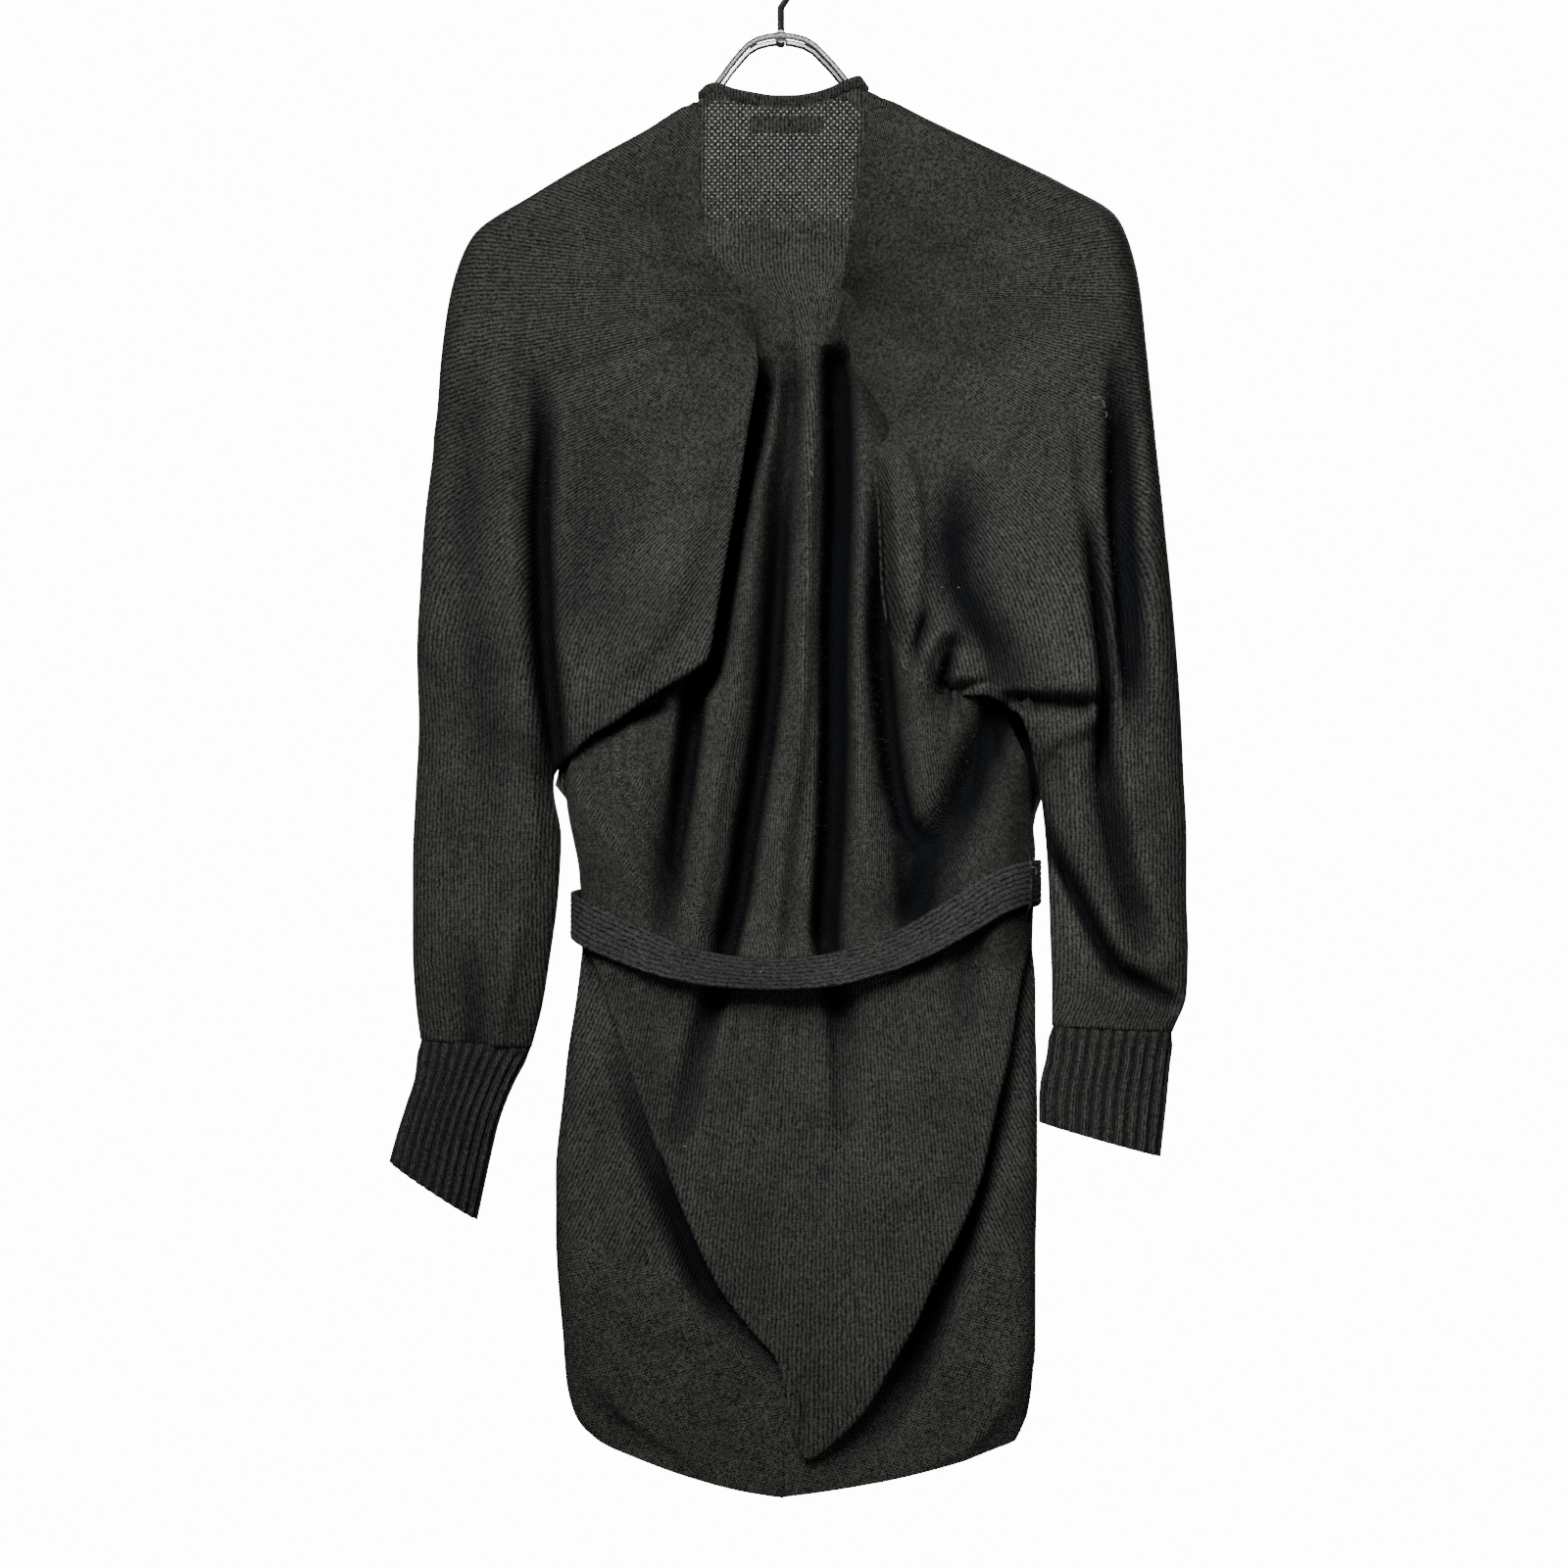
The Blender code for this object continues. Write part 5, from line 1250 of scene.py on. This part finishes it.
def build_body():
    """The back, then the sleeves and fronts, the hem's halves, the cuffs and the neckband."""
    grid = waved_neck(undulate(widened(back_grid(*BACK_CELLS))))
    # The hollow masks of the back, sleeves and hems are painted shade deep in their folds
    shell("back_cloth", grid, back_knit(grid), thin_wool, ["back"], hollow=painted_fold_shade(PLEATS, grid),
          open=neck_window(grid))
    for name, sleeve, folds, side in (("left", LEFT_SLEEVE, LEFT_SLEEVE_FOLDS, -1),
                                      ("right", RIGHT_SLEEVE, RIGHT_SLEEVE_FOLDS, 1)):
        grid, keep = joined_sleeve(*sleeve_grid(sleeve, folds, *SLEEVE_CELLS), side)
        grid = waved_neck(undulate(grid))
        behind = (np.arange(len(grid)) < len(grid) - SLEEVE_CELLS[2])[:, None]
        shell(name + "_sleeve_cloth", grid, sleeve_knit(sleeve, grid, side), wool, [name + "_sleeve"],
              hollow=painted_fold_shade(folds, grid, behind), keep=keep)
        grid = front_grid(name, sleeve, *FRONT_CELLS)
        behind = side * grid[..., 0] > 0
        # Under the right arm the front is widened into the gap by the sleeve, and that part is painted
        # dark as shade
        gap = ramp(grid[..., 1], *ARMPIT[:2]) * (1 - ramp(grid[..., 1], *ARMPIT[2:]))
        gap = gap * (side > 0) * behind
        grid[..., 0] += ARMPIT_OUT * gap * ramp(side * grid[..., 0], 128, 156)
        shell(name + "_front_cloth", grid, straight_knit(grid), wool, [name + "_front"],
              hollow=gap * ramp(side * grid[..., 0], 150, 158))
    for name, rows, folds, sign in (("left", LEFT_HEM, LEFT_HEM_FOLDS, 1),
                                    ("right", RIGHT_HEM, RIGHT_HEM_FOLDS, -1)):
        grid = hem_grid(rows, folds, *HEM_CELLS, sign)
        moss = ramp(grid[..., 1] - 0.4 * np.abs(grid[..., 0] - rows[0].outer_x), *MOSS_FROM)
        if sign > 0:
            under = ramp(np.linspace(0, 1, grid.shape[1]), 0.93, 1)[None, :]
            grid[..., 0] += HEM_UNDER[0] * under
            grid[..., 2] += HEM_UNDER[1] * under
        shell(name + "_hem_cloth", undulate(grid, 0.25), straight_knit(grid, sign * HEM_SLANT), wool,
              [name + "_hem"], moss=moss, hollow=painted_fold_shade(folds, grid))
    for name, sleeve, rows in (("left_cuff", LEFT_SLEEVE, LEFT_CUFF),
                               ("right_cuff", RIGHT_SLEEVE, RIGHT_CUFF)):
        cuff(name, soft_cuff(cuff_rows(sleeve, rows), CUFF_RIBS, *CUFF_CELLS))
    grid = neckband_grid(NECKBAND_CELLS)
    ends = np.minimum(*(ramp(np.linspace(a, 1 - a, NECKBAND_CELLS + 1), 0, BAND_ENDS) for a in (0, 1)))
    grid[..., 1] = grid[-1:, :, 1] + (grid[..., 1] - grid[-1:, :, 1]) * (0.2 + 0.8 * ends)
    grid[-1, :, 1] += BAND_LOWER
    grid = waved_neck(grid)
    shell("neckband_cloth", grid, straight_knit(grid), rib, ["neckband"], "rib_wool")


CUFF_MOUTH = (0.985, 1.6)    # how much each end ring is drawn in, and how far it runs on
CUFF_INSIDE = 1.7            # from the sewn end's outside to its inside
CUFF_RISE = 0.12             # the share of the length in which the ribs rise


def soft_cuff(rows, ribs, points_per_rib, down):
    """The cuff's rings, with ribs that rise out of the end of the sleeve."""
    rings = [np.array(ring) for ring in cuff_rings(rows, ribs, points_per_rib, down)]
    for first, second in ((0, 1), (-1, -2)):
        centre = rings[first].mean(axis=0)
        up = rings[first] - rings[second]
        up = up / np.linalg.norm(up, axis=1)[:, None]
        rings[first] = centre + (rings[first] - centre) * CUFF_MOUTH[0] + CUFF_MOUTH[1] * up
    for k in range(down + 1):
        inner = rings[2 * down + 1 - k]
        risen = float(ramp(k / down, 0, CUFF_RISE))
        away = rings[k] - inner
        flat = away / np.linalg.norm(away, axis=1)[:, None] * CUFF_INSIDE
        rings[k] = inner + flat * (1 - risen) + away * risen
    return rings


def cuff(name, rings):
    rings = np.array(rings)
    count = len(rings)
    around = rings.shape[1]
    closed = np.concatenate([rings, rings[:1]], axis=0)
    closed = np.concatenate([closed, closed[:, :1]], axis=1)
    points = rings.reshape(-1, 3)
    down = lengths(closed, 0)[:-1, :-1]
    round_it = lengths(closed, 1)[:-1, :-1]
    knit = np.stack([round_it, down], axis=-1).reshape(-1, 2)
    number = np.arange(len(points))
    # Painted shade in the grooves between the ribs, on the outside only
    groove = 0.5 - 0.5 * np.cos(2 * np.pi * (number % around) / (around / CUFF_RIBS))
    hollow = 0.6 * (number < len(points) // 2) * groove ** 1.5
    mesh = mesh_of(name + "_cloth", points, ring_faces(count, around, closed=True), knit,
                   {"hollow": hollow})
    return place(name + "_cloth", mesh, rib, [name])


def strip(name, rows, along, across, nodes):
    """A band with ribs along it."""
    grid = strip_grid(rows, BELT_WIDTH, along, across)
    over, run = lengths(grid, 1), lengths(grid, 0)
    facing = np.cross(np.gradient(grid, axis=1), np.gradient(grid, axis=0))
    facing /= np.maximum(np.linalg.norm(facing, axis=-1), 1e-9)[..., None]
    rib_wave = np.cos(2 * np.pi * over / BELT_RIB)
    grid = grid + (0.2 * rib_wave)[..., None] * facing
    # Painted shade in the grooves between the ribs
    return shell(name, grid, np.stack([over, run], axis=-1), belt_wool, nodes,
                 hollow=0.2 * (0.5 - 0.5 * rib_wave) ** 2, thickness=BELT_THICK - 0.4)


def build_belt():
    strip("belt_cloth", BELT_ROWS, *BELT_CELLS, ["belt"])
    for name, rows in TAILS.items():
        strip(name + "_cloth", rows, *TAIL_CELLS, [name])
    count, around = KNOT_CELLS
    points = np.array(knot_rings(KNOT, count, around)).reshape(-1, 3)
    faces = ring_faces(count, around)
    faces += [tuple(range(around))[::-1], tuple(range((count - 1) * around, count * around))]
    mesh = mesh_of("belt_knot_cloth", points, faces, points[:, :2], {})
    place("belt_knot_cloth", mesh, rib, ["belt_knot"])


def dress_nodes():
    """Gives the solids that stay as they are their looks."""
    for look, nodes in ((chrome, ["hanger_rods", "hanger_bridge", "hanger_hook"]),
                        (rib, ["belt_loop_left", "belt_loop_right"]),
                        (label, ["neck_label"])):
        for node in nodes:
            materials = frame["nodes"][node].data.materials
            materials.clear()
            materials.append(look)


# The fuzz of brushed wool, and the lint on it

def fibres(source, per_area, shortest, longest):
    """Fine hairs that stand off a piece, away from the middle of the garment."""
    mesh = source.data
    chance = random.Random(source.name)
    corners, far = [], []
    middle = Vector((0.0, 0.0, 0.0))
    for face in mesh.polygons:
        count = face.area * per_area
        count = int(count) + (chance.random() < count - int(count))
        for _ in range(count):
            a, b, c = (mesh.vertices[face.vertices[k]].co for k in (0, 1, 2))
            u, v = chance.random(), chance.random()
            spot = a + (b - a) * u + (c - b) * (v * u)
            middle.x, middle.z = spot.x * 0.5, spot.z
            out = face.normal if face.normal.dot(spot - middle) > 0 else -face.normal
            lean = Vector([chance.gauss(0, 0.8) for _ in range(3)])
            way = (out + lean).normalized()
            if way.dot(out) < 0.1:
                way = (way + out).normalized()
            side = way.orthogonal().normalized() * FIBRE_WIDTH * MM
            foot = spot + out * 0.8 * MM
            tip = foot + way * chance.uniform(shortest, longest) * MM
            bend = (foot + tip) / 2 + lean * 0.2 * MM
            first = len(corners)
            corners.extend([foot - side, foot + side, bend + side, tip, bend - side])
            far.append((first, first + 1, first + 2, first + 3, first + 4))
    return corners, far


def build_fuzz(pieces):
    corners, faces = [], []
    for piece in pieces:
        more, rows = fibres(piece, FIBRES_PER_AREA, *FIBRE_LENGTHS)
        faces.extend([tuple(len(corners) + k for k in row) for row in rows])
        corners.extend(more)
    mesh = bpy.data.meshes.new("wool_fuzz")
    mesh.from_pydata(corners, [], faces)
    mesh.update()
    place("wool_fuzz", mesh, fuzz, [])


def thread(path, radius, sides=5):
    """Rings of points along a path in metres."""
    rings = []
    for k, spot in enumerate(path):
        ahead = path[min(k + 1, len(path) - 1)] - path[max(k - 1, 0)]
        one = ahead.orthogonal().normalized()
        two = ahead.cross(one).normalized()
        rings.append([spot + (one * math.cos(turn) + two * math.sin(turn)) * radius
                      for turn in (2 * math.pi * n / sides for n in range(sides))])
    return rings


def build_lint():
    """Short light threads that lie on the cloth where the photo shows them."""
    bpy.context.view_layer.update()
    graph = bpy.context.evaluated_depsgraph_get()
    points, faces = [], []
    for bit in LINT:
        path = []
        for k in range(int(bit.steps) + 1):
            t = k / bit.steps
            turn = bit.curl * t + bit.start
            x = bit.x + bit.size * (t - 0.5) * math.cos(bit.start) + bit.loop * math.cos(turn)
            drop = bit.drop + bit.size * (t - 0.5) * math.sin(bit.start) + bit.loop * math.sin(turn)
            from_here = Vector((x * MM, -1.0, -(NECK_BELOW_HOOK + drop) * MM))
            hit, spot, *_ = bpy.context.scene.ray_cast(graph, from_here, Vector((0, 1, 0)))
            if hit and abs(spot.y) < 0.1:
                path.append(spot - Vector((0, (0.5 + 0.6 * math.sin(3 * t)) * MM, 0)))
        if len(path) < 3:
            continue
        rings = thread(path, bit.thick * MM)
        faces.extend(ring_faces(len(rings), len(rings[0]), first=len(points)))
        points.extend(point for ring in rings for point in ring)
    mesh = bpy.data.meshes.new("lint")
    mesh.from_pydata(points, [], faces)
    mesh.shade_smooth()
    mesh.update()
    place("lint", mesh, lint, [])


# The camera, the floor and the light

CAMERA_LENS, CAMERA_SENSOR = 85.7, 36
CAMERA_AT = (0.002, -2.4, -0.550)
WARM, COOL = (1.0, 0.995, 0.98), (0.8, 0.89, 1.0)
Light = namedtuple("Light", "name energy size place target colour spread")
LIGHTS = [
    Light("key light", 6.6, 0.8, (-0.40, -1.8, 0.50), (0.11, 0, -0.47), WARM, 39),
    Light("back light", 26, 1.2, (0.7, 2.2, 0.5), (0, 0, -0.5), WARM, 70),
    Light("fill light", 2.0, 1.2, (0.6, -2.4, 0.3), (0, 0, -0.6), COOL, 180),
]
WORLD_LIGHT, WORLD_SEEN = 0.03, 14.0    # how bright the world is on the cloth, and to the camera
FLOOR_AT, FLOOR_SIZE = -1.45, 3
FLOOR_GLOW = 1.6                        # makes the floor pale to the camera, and lights nothing


def area_light(light):
    data = bpy.data.lights.new(light.name, "AREA")
    data.spread = math.radians(light.spread)
    data.energy = light.energy
    data.shape = "SQUARE"
    data.size = light.size
    data.color = light.colour
    obj = bpy.data.objects.new(light.name, data)
    obj.location = light.place
    obj.rotation_mode = "QUATERNION"
    way = Vector(light.target) - Vector(light.place)
    obj.rotation_quaternion = way.to_track_quat("-Z", "Y")
    bpy.context.scene.collection.objects.link(obj)


def studio():
    data = bpy.data.cameras.new("camera")
    data.lens = CAMERA_LENS
    data.sensor_width = CAMERA_SENSOR
    data.clip_end = 50
    camera = bpy.data.objects.new("camera", data)
    camera.location = CAMERA_AT
    camera.rotation_euler = (math.radians(90), 0, 0)
    bpy.context.scene.collection.objects.link(camera)
    bpy.context.scene.camera = camera
    for light in LIGHTS:
        area_light(light)
    world = bpy.data.worlds.new("pale studio")
    world.use_nodes = True
    tree = world.node_tree
    background = tree.nodes["Background"]
    background.inputs["Color"].default_value = (1, 1, 1, 1)
    seen = tree.nodes.new("ShaderNodeLightPath").outputs["Is Camera Ray"]
    strength = tree.nodes.new("ShaderNodeMapRange")
    strength.inputs["To Min"].default_value = WORLD_LIGHT
    strength.inputs["To Max"].default_value = WORLD_SEEN
    tree.links.new(seen, strength.inputs["Value"])
    tree.links.new(strength.outputs[0], background.inputs["Strength"])
    bpy.context.scene.world = world
    bpy.ops.mesh.primitive_plane_add(size=FLOOR_SIZE, location=(0, 0, FLOOR_AT))
    floor = bpy.context.object
    floor.name = "floor"
    paint = Looks("pale floor")
    seen = paint.node("ShaderNodeLightPath").outputs["Is Camera Ray"]
    paint.finish(Base_Color=paint.tint(paint.noise(3), (0.80, 0.80, 0.80), (0.86, 0.86, 0.86)),
                 Roughness=0.7, Emission_Color=(0.9, 0.9, 0.9, 1),
                 Emission_Strength=paint.times(seen, FLOOR_GLOW))
    floor.data.materials.append(paint.material)


build_body()
build_belt()
dress_nodes()
build_fuzz([piece for piece in bpy.context.scene.objects if piece.name.endswith("_cloth")])
build_lint()
studio()
